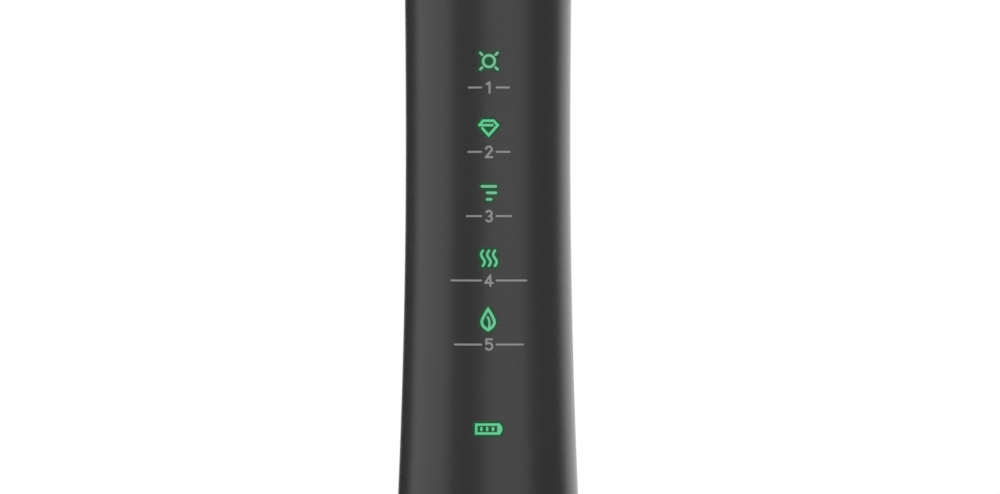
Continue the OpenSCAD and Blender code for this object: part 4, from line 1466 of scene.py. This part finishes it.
@dataclass
class Marks:
    """The lit signs and the printed numerals beneath them, laid on the handle as thin beads."""

    form: HandleForm = HandleForm()
    icons: Icons = field(default_factory=Icons)
    centre_x: float = 0.15
    top_lamp: float = on_brush("light_blocks").h[1] - 2.6
    low_lamp: float = on_brush("light_blocks").h[0] + 2.6
    lamp_pitch: float = 9.73
    legend_drop: tuple[float, ...] = (4.14, 4.04, 3.92, 3.82, 3.67)
    legend_w: tuple[float, ...] = (6.3, 6.5, 6.9, 11.5, 10.5)
    dash_from: float = 1.15
    dash_end: float = 0.15
    dash_w: float = 0.29
    lift: float = 0.03
    section: tuple[Corner, ...] = ((-1.0, -1.0, 0.0), (-1.0, 0.7, 0.0), (-0.5, 0.95, 0.6))
    widest_mitre: float = 1.5
    step: float = 0.25
    halo_spread: float = 0.43
    halo_reach: float = 3.2
    halo_cell: float = 0.1
    halo_dab: float = 0.05
    halo_gain: float = 1.16
    halo_floor: float = 0.06
    halo_lift: float = 0.009

    def lamp(self, number: int) -> float:
        """The height of one of the five upper lamps, counted from the top one at 0."""
        return self.top_lamp - number * self.lamp_pitch

    def signs(self) -> dict[str, Sign]:
        """Lists the lit signs. Each sits by its lamp, a little higher or lower as its drawing needs.

        Returns:
            Each sign under its piece's name.
        """
        icons = self.icons
        return {
            "sign_1_sun": Sign(self.lamp(0) - 0.2, icons.sun(), LIT_SOFT, icons.rays()),
            "sign_2_gem": Sign(self.lamp(1) - 0.51, icons.gem(), LIT_KEEN),
            "sign_3_bars": Sign(self.lamp(2) - 0.44, icons.bars(), LIT_SOFT),
            "sign_4_waves": Sign(self.lamp(3) - 0.48, icons.waves()),
            "sign_5_leaf": Sign(self.lamp(4) + 0.08, icons.leaf()),
            "sign_battery": Sign(self.low_lamp + 0.2, icons.battery(), LIT_KEEN),
        }

    def _fine(self, stroke: Stroke) -> list[Vector]:
        """Splits a stroke's path so that it follows the handle's curve.

        Args:
            stroke: The stroke.

        Returns:
            The points, without the first again at the end of a closed path.
        """
        path = [Vector(stroke.path[0])]
        for a, b in zip(stroke.points(), stroke.points()[1:]):
            steps = max(1, math.ceil(math.dist(a, b) / self.step))
            path += [Vector(a).lerp(Vector(b), i / steps) for i in range(1, steps + 1)]
        return path[:-1] if stroke.closed else path

    def _spine(self, stroke: Stroke) -> list[tuple[Vector, Vector, float]]:
        """Follows a stroke's middle, with mitred turns and round ends.

        Args:
            stroke: The stroke.

        Returns:
            For each cross-section its middle, the way along, and half its width.
        """
        path, half = self._fine(stroke), stroke.width / 2
        spine = []
        for i, p in enumerate(path):
            before = path[i - 1] if stroke.closed or i else None
            after = path[(i + 1) % len(path)] if stroke.closed or i < len(path) - 1 else None
            a = (p - before).normalized() if before is not None else (after - p).normalized()
            b = (after - p).normalized() if after is not None else a
            along = (a + b).normalized()
            spine.append((p, along, half / max(1 / self.widest_mitre, along.dot(a))))
        if stroke.closed:
            return spine
        turns = [(half * math.sin(a), half * math.cos(a)) for a in np.radians((22.5, 45.0, 67.5, 85.0))]
        (first, on, _), (last, off, _) = spine[0], spine[-1]
        return [*((first - on * out, on, wide) for out, wide in reversed(turns)), *spine,
                *((last + off * out, off, wide) for out, wide in turns)]

    def ribbon(self, shape: Shape, stroke: Stroke, centre: Point, surface: Surface) -> None:
        """Lays a stroke on a surface as a thin, slightly crowned bead, which glows most along its middle.

        One side of its section is kept as shares of half its width and of its lift, and as its glow.

        Args:
            shape: The mesh that it is added to.
            stroke: The stroke.
            centre: Its mark's centre, as x and height.
            surface: How far forward the surface lies at x and a height.
        """
        other_side = [(-share, rise, level) for share, rise, level in reversed(self.section)]
        section = [*self.section, (0.0, 1.0, 1.0), *other_side]
        rows = []
        for p, along, wide in self._spine(stroke):
            row = []
            for share, rise, level in section:
                x = centre[0] + p.x - along.y * wide * share
                h = centre[1] + p.y + along.x * wide * share
                row.append(shape.point(x, surface(x, h) - self.lift * rise, h))
                row[-1][shape.glow] = level
            rows.append(row)
        shape.sheet(rows, closed=stroke.closed, capped=not stroke.closed)

    def bead(self, name: str, strokes: Sequence[Stroke], centre: Point,
             surface: Surface | None = None) -> Thing:
        """Makes an object of several strokes.

        Args:
            name: The object's name.
            strokes: The strokes.
            centre: Their centre, as x and height.
            surface: How far forward the surface lies at x and a height, where that isn't the handle's.

        Returns:
            The object.
        """
        shape = Shape()
        for stroke in strokes:
            self.ribbon(shape, stroke, centre, surface or self.form.front)
        return shape.done(name, crease=60.0)

    def _light(self, strokes: Sequence[Stroke]) -> tuple[np.ndarray, np.ndarray, np.ndarray]:
        """Works out how strongly the wall around a sign is lit, as soft dabs of light along its strokes.

        Args:
            strokes: The sign's strokes.

        Returns:
            The grid's places from left to right, its places in height, and the light from 0 to 1 at each.
        """
        runs = [(np.array(a), np.array(b)) for s in strokes for a, b in zip(s.points(), s.points()[1:])]
        low, high = (edge(np.array(runs), axis=(0, 1)) for edge in (np.min, np.max))
        spread, reach = self.halo_spread, self.halo_reach * self.halo_spread
        xs, hs = (np.arange(low[k] - reach, high[k] + reach, self.halo_cell) for k in (0, 1))
        grid = np.stack(np.meshgrid(xs, hs, indexing="ij"), -1)
        total, most = np.zeros(grid.shape[:2]), np.zeros(grid.shape[:2])
        for a, b in runs:
            length = np.linalg.norm(b - a)
            steps = math.ceil(length / self.halo_dab)
            for share in (np.arange(steps) + 0.5) / steps:
                away = np.linalg.norm(grid - a - share * (b - a), axis=-1) / spread
                light = np.exp(-away * away / 2)
                total += light * length / steps
                most = np.maximum(most, light)
        total /= math.sqrt(math.tau) * spread
        return xs, hs, np.clip(np.maximum(self.halo_gain * total, most) - self.halo_floor, 0, 1)

    def halo(self, name: str, strokes: Sequence[Stroke], centre: Point) -> Thing:
        """Makes the faint light around a sign, as a skin that follows the shell.

        Args:
            name: The object's name.
            strokes: The sign's strokes.
            centre: The sign's centre, as x and height.

        Returns:
            The object, with its attribute "glow" at 1 by the strokes and at 0 where the light has faded.
        """
        xs, hs, level = self._light(strokes)
        shape = Shape()

        @cache
        def corner(i: int, j: int) -> Vertex:
            """Adds the grid's point i, j, once.

            Args:
                i: Its number from left to right.
                j: Its number in height.

            Returns:
                The point.
            """
            x, h = centre[0] + xs[i], centre[1] + hs[j]
            made = shape.point(x, self.form.front(x, h) - self.halo_lift, h)
            made[shape.glow] = level[i, j]
            return made

        for i in range(len(xs) - 1):
            for j in range(len(hs) - 1):
                if level[i:i + 2, j:j + 2].max() > 0:
                    square = ((i, j), (i + 1, j), (i + 1, j + 1), (i, j + 1))
                    shape.mesh.faces.new([corner(*spot) for spot in square])
        bmesh.ops.recalc_face_normals(shape.mesh, faces=shape.mesh.faces)
        bmesh.ops.solidify(shape.mesh, geom=shape.mesh.faces[:], thickness=2 * self.lift * MM)
        return shape.done(name)

    def legend(self, number: int) -> Thing:
        """Makes the numeral under one of the five upper signs, between two short dashes.

        Args:
            number: The numeral, which is 1 under the top sign.

        Returns:
            The numeral and its dashes.
        """
        end = self.legend_w[number - 1] / 2 - self.dash_end
        dashes = [Stroke(((side * self.dash_from, 0), (side * end, 0)), self.dash_w) for side in (-1, 1)]
        h = self.lamp(number - 1) - self.legend_drop[number - 1]
        return self.bead(f"numeral_{number}", [self.icons.numeral(number), *dashes], (self.centre_x, h))

    def build(self) -> None:
        """Builds the lit signs and the numerals."""
        for name, sign in self.signs().items():
            centre = (self.centre_x, sign.h)
            lit = [(self.halo(f"{name}_halo", sign.strokes + sign.rays, centre), GLOW),
                   (self.bead(name, sign.strokes, centre), sign.lamp)]
            if sign.rays:
                lit.append((self.bead(f"{name}_rays", sign.rays, centre), LIT_PALE))
            for thing, finish in lit:
                place(thing, Body.HANDLE, "light_guide", finish=finish)
        for number in range(1, 6):
            place(self.legend(number), Body.HANDLE, "handle_plastic", finish=LEGEND)


# ---------- power button ----------


@dataclass
class PowerButton:
    """The round button: a dished cap that follows the handle, with the usual power sign."""

    form: HandleForm = HandleForm()
    size: ButtonForm = ButtonForm()
    edge: float = 0.4
    proud: float = 0.35
    dish: float = 0.22
    skirt: float = 0.3
    ear_edge: float = 0.15
    stem_r: float = 1.5
    stem_sunk: float = 0.15
    segments: int = 96

    def surface(self, x: float, h: float) -> float:
        """Works out how far forward the cap lies.

        Args:
            x: The place from left to right.
            h: The height.

        Returns:
            The cap's y there.
        """
        out = math.hypot(x, h - self.size.at) / (self.size.r - self.edge)
        return self.form.front(x, h, self.proud) + self.dish * (1 - min(1.0, out) ** 2) ** 2

    def cap(self) -> None:
        """Builds the cap with its ears and stem."""
        at, flat = self.size.at, self.size.r - self.edge
        back = self.size.ear_y[0] + self.skirt
        rings = [(flat * i / 10, 0.0) for i in range(1, 11)]
        rings += [(flat + self.edge * math.sin(math.radians(a)), self.edge * (1 - math.cos(math.radians(a))))
                  for a in (20, 40, 60, 75, 90)]
        shape = Shape()
        rows = [[shape.point(0, self.surface(0, at), at)]]
        for r, sink in rings:
            circle = arc((0, at), r, 0, 360, self.segments)[:-1]
            rows.append([shape.point(x, self.surface(x, h) + sink, h) for x, h in circle])
        rows.append([shape.point(x, back, h) for x, h in circle])
        rows.append([shape.point(0, back, at)])
        shape.sheet(rows)
        thing = shape.done("power_key")
        wide, high = self.size.ear_w / 2, self.size.ear_h / 2
        ears = block("ears", (-wide, wide), self.size.ear_y, (at - high, at + high), self.ear_edge)
        combine(thing, ears, Cut.JOIN)
        start = back - self.stem_sunk
        stem = tube(0, self.stem_r, start, self.size.back, 0.2)
        combine(thing, turned("stem", stem, 40, Axis.BACK, (0, 0, at)), Cut.JOIN)
        place(thing, Body.BUTTON, "button_plastic", ["power_button"])

    def build(self, marks: Marks) -> None:
        """Builds the cap and the printed power sign.

        Args:
            marks: What lays the sign's strokes on the cap.
        """
        self.cap()
        sign = marks.bead("power_sign", marks.icons.power(), (0.0, self.size.at), self.surface)
        place(sign, Body.BUTTON, "button_plastic", finish=SYMBOL)


# ---------- drive ----------


@dataclass
class Drive:
    """The drive shaft, with its flat and its clip grooves."""

    shaft: Extent = on_brush("drive_shaft")
    clips: Extent = on_brush("shaft_clips")
    flat_y: float = -1.3
    flat_l: float = 12.0
    groove: float = 0.35
    clip_t: float = 0.6
    play: float = 0.02

    def build(self) -> None:
        """Builds the shaft."""
        r, (low, high) = self.shaft.r, self.shaft.h
        deep = r - self.groove
        grooves = []
        for start in (self.clips.h[0] - self.play, self.clips.h[1] + self.play - self.clip_t):
            stop = start + self.clip_t
            grooves += [(r, start, 0), (deep, start, 0), (deep, stop, 0), (r, stop, 0)]
        outline = [(0, low, 0), (r, low, 0.2), *grooves, (r, high, 0.35), (0, high, 0)]
        thing = turned("driven_shaft", outline, 72)
        flat = block("flat", (-2 * r, 2 * r), (-2 * r, self.flat_y), (high - self.flat_l, high + 1))
        combine(thing, flat, Cut.AWAY)
        place(thing, Body.DRIVE, "shaft_steel", ["drive_shaft"])


# ---------- brush head ----------


@dataclass
class BrushHead:
    """The head's neck, colour ring and bristle plate."""

    segments: int = 64
    ring: Extent = on_brush("head_ring")
    ring_in_r: float = 5.1
    ring_play: float = 0.05
    ring_line_at: float = 1.65
    ring_line_deep: float = 0.12
    ring_line_half: float = 0.1
    foot: Extent = on_brush("brush_neck")
    foot_lead: float = 0.6
    neck_r: float = 3.1
    taper_top: float = 225.0
    flare_from: float = 231.5
    flare_l: float = 9.0
    flat_from: float = 227.0
    flat_l: float = 13.0
    flat_square: float = 1.6
    plate_r: float = 5.4
    straight: float = 6.6
    front_y: float = PLATE_FRONT
    back_y: float = 2.2
    end_thin: float = 0.35
    carrier_inset: float = 0.65
    carrier_rise: float = 0.15
    carrier_t: float = 1.0
    carrier_edge: tuple[Point, ...] = ((0.15, 0.0), (0.05, -0.04), (0.0, -0.14))
    hole_play: float = 0.06
    hole_deep: float = 0.6
    bore_r: float = on_brush("shaft_socket").r + 0.05
    bore_top: float = on_brush("shaft_socket").h[1] + 0.05
    spring_r: float = on_brush("socket_spring").r + 0.075
    spring_top: float = on_brush("socket_spring").h[1] + 0.2

    @property
    def middle(self) -> float:
        """The height of the bristle plate's middle."""
        return self.foot.h[1] - self.straight - self.plate_r

    def half_width(self, h: float) -> float:
        """Works out half the head's width.

        Args:
            h: The height that it is for.

        Returns:
            Half the width there.
        """
        if h > self.middle:
            beyond = max(0.0, h - self.middle - self.straight)
            return math.sqrt(max(0.0, self.plate_r**2 - beyond**2))
        taper = ease((h - self.ring.h[1]) / (self.taper_top - self.ring.h[1]))
        neck = self.foot.r + (self.neck_r - self.foot.r) * taper
        return neck + (self.plate_r - neck) * ease((h - self.flare_from) / self.flare_l)

    def section(self, shape: Shape, h: float) -> list[Vertex]:
        """Adds the points of the head's section, which goes over from round to flat above the neck.

        Args:
            shape: The mesh that they are added to.
            h: The section's height.

        Returns:
            The points, from the front round to the right.
        """
        wide = self.half_width(h)
        turn = ease((h - self.flat_from) / self.flat_l)
        neck = min(wide, self.neck_r) if h > self.taper_top else wide
        front = -neck + (self.front_y + self.carrier_rise + neck) * turn
        back = neck + (self.back_y - neck) * turn
        end = (wide / self.plate_r) ** self.end_thin if h > self.middle + self.straight else 1.0
        middle, deep = (front + back) / 2, (back - front) / 2 * end
        power = 2 / (2 + self.flat_square * turn)
        points = []
        for i in range(self.segments):
            a = math.tau * i / self.segments
            s, c = math.sin(a), -math.cos(a)
            x = wide * math.copysign(abs(s) ** power, s)
            y = middle + deep * math.copysign(abs(c) ** power, c)
            points.append(shape.point(x, y, h))
        return points

    def neck(self) -> None:
        """Builds the neck and the head's body in one smooth form, with the bore for the socket."""
        foot, top, end = self.ring.h[0] + self.foot_lead, self.ring.h[1], self.middle + self.straight
        inside = [(0, self.bore_top), (self.bore_r, self.bore_top), (self.bore_r, self.spring_top),
                  (self.spring_r, self.spring_top), (self.spring_r, foot), (self.ring_in_r, foot),
                  (self.ring_in_r, top)]
        blend = self.flat_from + self.flat_l + 2
        heights = [*np.linspace(top, self.taper_top, 34), *np.linspace(self.taper_top + 1, blend, 33),
                   *np.linspace(blend + 1, end, 8)]
        heights += [end + self.plate_r * math.sin(math.radians(a))
                    for a in (8, 16, 24, 32, 40, 48, 55, 62, 68, 74, 79, 83, 86.5)]
        shape = Shape()
        rows = [shape.ring(r, h, self.segments) for r, h in inside]
        rows += [self.section(shape, h) for h in heights]
        rows.append([shape.point(0, (self.front_y + self.back_y) / 2, self.foot.h[1])])
        shape.sheet(rows)
        place(shape.done("head_body"), Body.HEAD, "head_plastic", ["brush_neck"])

    def carrier(self, tufts: "Tufts") -> None:
        """Builds the flat plate that the bristles stand in, with a hole for each tuft.

        Args:
            tufts: The tufts that stand in it.
        """
        r, front = self.plate_r - self.carrier_inset, self.front_y
        outline = arc((0, self.middle + self.straight), r, 0, 180, 24)
        outline += arc((0, self.middle - self.straight), r, 180, 360, 24)
        shape = Shape()
        levels = ((self.carrier_t, 0.0), *self.carrier_edge)
        shape.plate(outline, [(front + behind, grow) for behind, grow in levels])
        thing = shape.done("bristle_carrier")
        holes = Shape()
        hole = tube(0, tufts.r + self.hole_play, front - 0.5, front + self.hole_deep)
        for x, h, _ in tufts.field():
            holes.lathe(hole, 20, Axis.BACK, (x, 0, h))
        combine(thing, holes.done("holes"), Cut.AWAY)
        place(thing, Body.HEAD, "head_plastic")

    def colour_ring(self) -> None:
        """Builds the coloured ring at the head's foot, with a fine groove round it."""
        (low, top), r, inner = self.ring.h, self.ring.r, self.ring_in_r + self.ring_play
        at, half = low + self.ring_line_at, self.ring_line_half
        thing = turned("foot_ring", [
            (inner, low, 0), (r, low, 0.4), (r, at - half, 0.08), (r - self.ring_line_deep, at, 0.05),
            (r, at + half, 0.08), (r, top, 0.15), (inner, top, 0)])
        place(thing, Body.HEAD, "ring_mint", ["head_ring"])

    def build(self) -> None:
        """Builds every piece, and the bristles in their plate."""
        tufts = Tufts(self.middle, self.straight)
        self.neck()
        self.carrier(tufts)
        self.colour_ring()
        tufts.build()


@dataclass
class Tufts:
    """The field of bristles about a middle height, where its sides stay straight for a way up and down."""

    middle: float
    straight: float
    rows: int = 11
    columns: int = 5
    row_pitch: float = 1.96
    column_pitch: float = 1.9
    field_r: float = 3.85
    r: float = 0.75
    root_y: float = PLATE_FRONT
    tip_y: float = on_brush("outer_tufts").y[0]
    rise: float = 1.0
    filament_r: float = 0.088
    filament_pitch: float = 0.205
    filament_rows: float = 0.866
    filament_short: float = 0.05
    play: float = 0.02
    sides: int = 5
    splay: float = 0.07
    lean: float = 0.035
    uneven: float = 0.07

    def field(self) -> list[Corner]:
        """Works out where the tufts stand. They are a little longer towards both ends of the field.

        Returns:
            Every tuft's x, height and length.
        """
        found = []
        half = (self.rows - 1) / 2
        for row in range(self.rows):
            for column in range(self.columns):
                x = (column - (self.columns - 1) / 2) * self.column_pitch
                up = (row - half) * self.row_pitch
                if abs(up) < self.straight or math.hypot(x, abs(up) - self.straight) < self.field_r:
                    longer = self.rise * (up / (half * self.row_pitch)) ** 2
                    found.append((x, self.middle + up, self.root_y - self.tip_y - self.rise + longer))
        return found

    def is_inner(self, tuft: Corner) -> bool:
        """Whether a tuft stands inside the field, where the bristles are coloured."""
        aside, up = abs(tuft[0]), abs(tuft[1] - self.middle)
        return aside < self.field_r - self.column_pitch / 2 and up < self.straight

    def filaments(self, name: str, tufts: Sequence[Corner], seed: int) -> Thing:
        """Builds the filaments of several tufts as fine, round-ended rods.

        They stand in a triangular pattern, and their profile is kept as shares of their length and radius.

        Args:
            name: The object's name.
            tufts: Each tuft's x, height and length.
            seed: What starts the small differences between filaments.

        Returns:
            The object.
        """
        chance = random.Random(seed)
        shape = Shape()
        thick, pitch = self.filament_r, self.filament_pitch
        spots = [(pitch * (i + 0.5 * (j % 2)), pitch * self.filament_rows * j)
                 for i in range(-4, 5) for j in range(-4, 5)]
        spots = [(u, v) for u, v in spots if math.hypot(u, v) < self.r - thick + self.play]
        profile = ((-0.06, 1.0), (0.5, 1.0), (0.955, 1.0), (0.985, 0.72), (1.0, 0.3))
        for x, h, length in tufts:
            for u, v in spots:
                aside = chance.gauss(0, self.lean) + self.splay * u
                up = chance.gauss(0, self.lean) + self.splay * v
                reach = abs(chance.gauss(0, self.uneven)) + self.filament_short - length
                rows = []
                for share, swell in profile:
                    y, middle = self.root_y + reach * share, (x + u + aside * share**2, h + v + up * share**2)
                    circle = arc(middle, thick * swell, 0, 360, self.sides)[:-1]
                    rows.append([shape.point(px, y, ph) for px, ph in circle])
                shape.sheet(rows, capped=True)
        return shape.done(name, crease=80.0)

    def build(self) -> None:
        """Builds the white outer tufts and the coloured inner ones."""
        inner = [tuft for tuft in self.field() if self.is_inner(tuft)]
        outer = [tuft for tuft in self.field() if not self.is_inner(tuft)]
        place(self.filaments("outer_bristles", outer, seed=5), Body.HEAD, "bristle_white", ["outer_tufts"])
        place(self.filaments("inner_bristles", inner, seed=6), Body.HEAD, "bristle_mint", ["inner_tufts"])


# ---------- charger ----------


@dataclass
class Charger:
    """The charger's visible pieces: its housing, non-slip pad and cord gland."""

    housing: Extent = on_table("charger_housing")
    pad: Extent = on_table("charger_pad")
    gland: Extent = on_table("cord_gland")
    crease: float = 40.0
    wall: float = 2.0
    edge: float = 4.0
    seat: float = FOOT
    seat_r: float = on_table("end_cap").r + 0.5
    seat_rim: float = 1.6
    seat_lead: float = 0.6
    post_r: float = POST_R
    post_wall: float = 1.1
    post_roof: float = 1.2
    post_edge: float = 1.0
    key_w: float = 1.6
    key_deep: float = 0.7
    key_edge: float = 0.2
    key_sunk: float = 0.5
    gland_r: float = 3.0
    gland_flange: float = 1.1
    gland_play: float = 0.05
    gland_hole_past: float = 1.5
    boss_r: float = 4.7
    cord_r: float = 1.75
    screw_ring_r: float = 19.0
    screw_post_r: float = 3.0
    screw_post_sunk: float = 0.6
    screw_hole_r: float = 1.05
    pad_groove_w: float = 1.0
    pad_groove_deep: float = 0.4
    pad_slope: float = 0.15

    @property
    def rim(self) -> float:
        """The height of the housing's top, round the seat."""
        return self.seat + self.seat_rim

    def shell(self) -> Thing:
        """Builds the housing's wall, with its seat and its charging post.

        Returns:
            The wall.
        """
        r, (low, top), rim, seat, lead = self.housing.r, self.housing.h, self.rim, self.seat, self.seat_lead
        inner, under, roof = r - self.wall, seat - self.wall, rim - self.wall
        seat_r, seat_out = self.seat_r, self.seat_r + self.wall
        post, hollow, ceiling = self.post_r, self.post_r - self.post_wall, top - self.post_roof
        return turned("charger_body", [
            (inner, low, 0.2), (r, low, 0.35), (r, rim, self.edge), (seat_r + lead, rim, 0.2),
            (seat_r, rim - lead, 0.2), (seat_r, seat, 0.25), (post, seat, 0.25), (post, top, self.post_edge),
            (0, top, 0), (0, ceiling, 0), (hollow, ceiling, 0), (hollow, under, 0), (seat_out, under, 0),
            (seat_out, roof, 0), (inner, roof, 0)], 160, base=TABLE, steps=8, crease=self.crease)

    def body(self) -> None:
        """Builds the housing with its key, its gland boss and its screw posts."""
        thing = self.shell()
        half, top = self.key_w / 2, self.housing.h[1] - 2 * self.post_edge
        combine(thing, block("key", (-half, half), (self.post_r - self.key_deep, self.post_r + self.key_deep),
                             (self.seat - self.key_sunk, top), self.key_edge, TABLE), Cut.JOIN, self.crease)
        start, stop = self.gland.y[0] + self.gland_flange, self.housing.y[1]
        boss = tube(0, self.boss_r, start, stop, 0.35)
        past = self.gland_hole_past
        hole = tube(0, self.gland_r + self.gland_play, start - past, stop + past)
        for name, outline, how in (("boss", boss, Cut.JOIN), ("hole", hole, Cut.AWAY)):
            tool = turned(name, outline, 64, Axis.BACK, (0, 0, self.gland.middle), TABLE)
            combine(thing, tool, how, self.crease)
        low, high = self.housing.h[0] + self.wall, self.rim - self.wall + self.screw_post_sunk
        for x, y in arc((0, 0), self.screw_ring_r, 30, 270, 2):
            outline = tube(self.screw_hole_r, self.screw_post_r, low, high)
            combine(thing, turned("screw_post", outline, 40, at=(x, y, 0), base=TABLE), Cut.JOIN, self.crease)
        place(thing, Body.CHARGER, "charger_plastic", ["charger_housing"])

    def foot(self) -> None:
        """Builds the non-slip pad, with rings of grooves beneath."""
        r, thick, deep, slope = self.pad.r, self.pad.h[1], self.pad_groove_deep, self.pad_slope
        corners: list[Corner] = [(0, 0, 0)]
        for start in range(3, 21, 2):
            stop = start + self.pad_groove_w
            line = ((start, 0), (start + slope, deep), (stop - slope, deep), (stop, 0))
            corners += [(x, h, 0.1) for x, h in line]
        corners += [(r, 0, 0.3), (r, thick, 0.1), (0, thick, 0)]
        thing = turned("non_slip_pad", corners, 120, base=TABLE, steps=3)
        place(thing, Body.CHARGER, "grip_rubber", ["charger_pad"])

    def sleeve(self) -> None:
        """Builds the soft gland that a cord passes through."""
        (start, stop), outside, r, cord = self.gland.y, self.housing.y[1], self.gland.r, self.cord_r
        inside = start + self.gland_flange
        thing = turned("gland_sleeve", [
            (cord, start, 0.1), (r, start, 0.15), (r, inside, 0), (self.gland_r, inside, 0),
            (self.gland_r, outside, 0), (r, outside, 0.1), (r, stop, 0.5), (cord, stop, 0.35)],
            64, Axis.BACK, (0, 0, self.gland.middle), TABLE)
        place(thing, Body.CHARGER, "seal_rubber", ["cord_gland"])

    def build(self) -> None:
        """Builds every piece."""
        self.body()
        self.foot()
        self.sleeve()


# ---------- inner parts ----------


class Insides:
    """The solids that are shown as they are, which get their finish here."""

    def build(self) -> None:
        """Gives every shown solid the finish of its material slot."""
        slots = {part["node"]: part["material_slot"] for part in frame["record"]["subparts"]}
        for name, node in frame["nodes"].items():
            if node.hide_render:
                continue
            finish = FLAT_BOARD if name == "charger_board" else FINISHES[slots[name]]
            dress(node, finish)
            log.info("%s: dressed in %s", name, finish.name)


# ---------- studio ----------


@dataclass(frozen=True)
class Card:
    """A tall curved card round the object, seen only in its gloss.

    Angles are in degrees from the front, towards the right. Lengths are in metres.
    """

    name: str
    start: float
    stop: float
    level: float
    radius: float = 0.55
    low: float = -0.4
    high: float = 0.7

    def build(self) -> Thing:
        """Makes the card.

        Returns:
            The card.
        """
        shape = Shape(TABLE)
        steps = max(2, int((self.stop - self.start) / 4))
        edge = arc((0, 0), self.radius / MM, self.start - 90, self.stop - 90, steps)
        rows = [[shape.point(x, y, h / MM) for h in (self.low, self.high)] for x, y in edge]
        shape.sheet(rows, around=False)
        thing = shape.done(self.name)
        made = bpy.data.materials.new(self.name)
        graph = Graph(made)
        graph.end(graph.light(self.level))
        thing.data.materials.append(made)
        thing.visible_camera = thing.visible_diffuse = thing.visible_shadow = False
        thing.visible_transmission = thing.visible_volume_scatter = False
        return thing


@dataclass(frozen=True)
class SoftLamp:
    """A square lamp that faces the brush and doesn't show in its gloss, in metres and watts."""

    name: str
    at: Corner
    power: float
    size: float = 0.9
    aim_h: float = 0.12

    def build(self) -> None:
        """Makes the lamp."""
        data = bpy.data.lights.new(self.name, "AREA")
        data.size, data.energy = self.size, self.power
        thing = add_object(self.name, data)
        thing.location = self.at
        towards = Vector((0.0, 0.0, self.aim_h)) - Vector(self.at)
        thing.rotation_euler = towards.to_track_quat("-Z", "Y").to_euler()
        thing.visible_camera = thing.visible_glossy = thing.visible_transmission = False


@dataclass
class Studio:
    """The floor, the light, the cards and the camera, with lengths in metres."""

    camera_x: float = 0.00181
    camera_h: float = 0.0648
    view_width: float = 0.1518
    lens: float = 200.0
    sensor: float = 36.0
    dome: float = 0.75
    floor_rings: tuple[float, ...] = (0.0, 0.3, 1.0, 3.0, 14.0)
    floor_greys: tuple[Colour, Colour] = ((0.79, 0.79, 0.79), (0.81, 0.81, 0.81))
    floor_fade: Point = (0.12, 0.45)
    lamps: tuple[SoftLamp, ...] = (
        SoftLamp("key_lamp", (-0.8, -1.0, 1.3), 7.5),
        SoftLamp("fill_lamp", (1.2, -0.7, 0.9), 3.0),
        SoftLamp("back_lamp", (0.3, 1.3, 1.1), 4.0),
    )
    cards: tuple[Card, ...] = (
        Card("card_left_dark", -163.0, -117.0, 0.02),
        Card("card_middle_dark", -52.0, -6.0, 0.07),
        Card("card_front_soft", -6.0, 55.0, 0.86),
        Card("card_right_dark", 55.0, 117.0, 0.06),
        Card("card_right_white", 126.0, 176.0, 1.35),
    )

    def camera(self) -> None:
        """Puts the camera level with the handle's lights, straight in front."""
        data = bpy.data.cameras.new("camera")
        data.lens, data.sensor_width, data.sensor_fit = self.lens, self.sensor, "HORIZONTAL"
        data.clip_start, data.clip_end = 0.01, 60.0
        thing = add_object("camera", data)
        thing.location = (self.camera_x, -self.view_width * self.lens / self.sensor, self.camera_h)
        thing.rotation_euler = (math.pi / 2, 0.0, 0.0)
        bpy.context.scene.camera = thing

    def seen(self, graph: Graph) -> Wire:
        """1 for what the camera sees, directly or in gloss or glass, and 0 for light on the object."""
        path = graph.add("ShaderNodeLightPath")
        return path.part("Is Camera Ray") | path.part("Is Glossy Ray") | path.part("Is Transmission Ray")

    def world(self) -> None:
        """Makes the white surroundings and the even light that comes from them."""
        world = bpy.data.worlds.new("surroundings")
        bpy.context.scene.world = world
        graph = Graph(world)
        light, white = (graph.add("ShaderNodeBackground", sockets={"Color": WHITE, "Strength": level})
                        for level in (self.dome, 1.0))
        graph.end(graph.mix(self.seen(graph), light, white), "ShaderNodeOutputWorld")

    def floor_finish(self) -> bpy.types.Material:
        """Makes the floor's material, which can't be seen from below.

        Returns:
            The material.
        """
        made = bpy.data.materials.new("pale_floor")
        graph = Graph(made)
        spot = graph.add("ShaderNodeTexCoord", output="Object")
        away = graph.add("ShaderNodeVectorMath", {"operation": "LENGTH"}, {0: spot}, output="Value")
        far = graph.add("ShaderNodeMapRange", {"interpolation_type": "SMOOTHSTEP"},
                        {"Value": away, "From Min": self.floor_fade[0], "From Max": self.floor_fade[1]})
        tone = graph.blend(graph.noise(spot, 9.0, 3.0), *self.floor_greys)
        matt = graph.add("ShaderNodeBsdfDiffuse", sockets={"Color": tone})
        top = graph.mix(far * self.seen(graph), matt, graph.light(1.0))
        under = graph.add("ShaderNodeNewGeometry", output="Backfacing")
        graph.end(graph.mix(under, top, graph.add("ShaderNodeBsdfTransparent")))
        return made

    def floor(self) -> None:
        """Makes the pale floor, which goes over into white away from the object."""
        shape = Shape(TABLE)
        shape.sheet([shape.ring(r / MM, 0.0, 96) for r in self.floor_rings])
        thing = shape.done("floor")
        if thing.data.polygons[0].normal.z < 0:
            thing.data.flip_normals()
        thing.data.materials.append(self.floor_finish())
        thing.visible_glossy = False

    def build(self) -> None:
        """Sets the whole studio."""
        self.camera()
        self.world()
        self.floor()
        for lamp in self.lamps:
            lamp.build()
        for card in self.cards:
            card.build()
        bpy.context.scene.view_settings.view_transform = "Standard"


def main() -> None:
    """Builds and dresses everything."""
    logging.basicConfig(level=logging.INFO, format="%(message)s")
    Studio().build()
    marks = Marks()
    for assembly in (HandleShell(), EndCap(), Nose(), marks):
        assembly.build()
    PowerButton().build(marks)
    for assembly in (Drive(), BrushHead(), Charger(), Insides()):
        assembly.build()


if __name__ == "__main__":
    main()
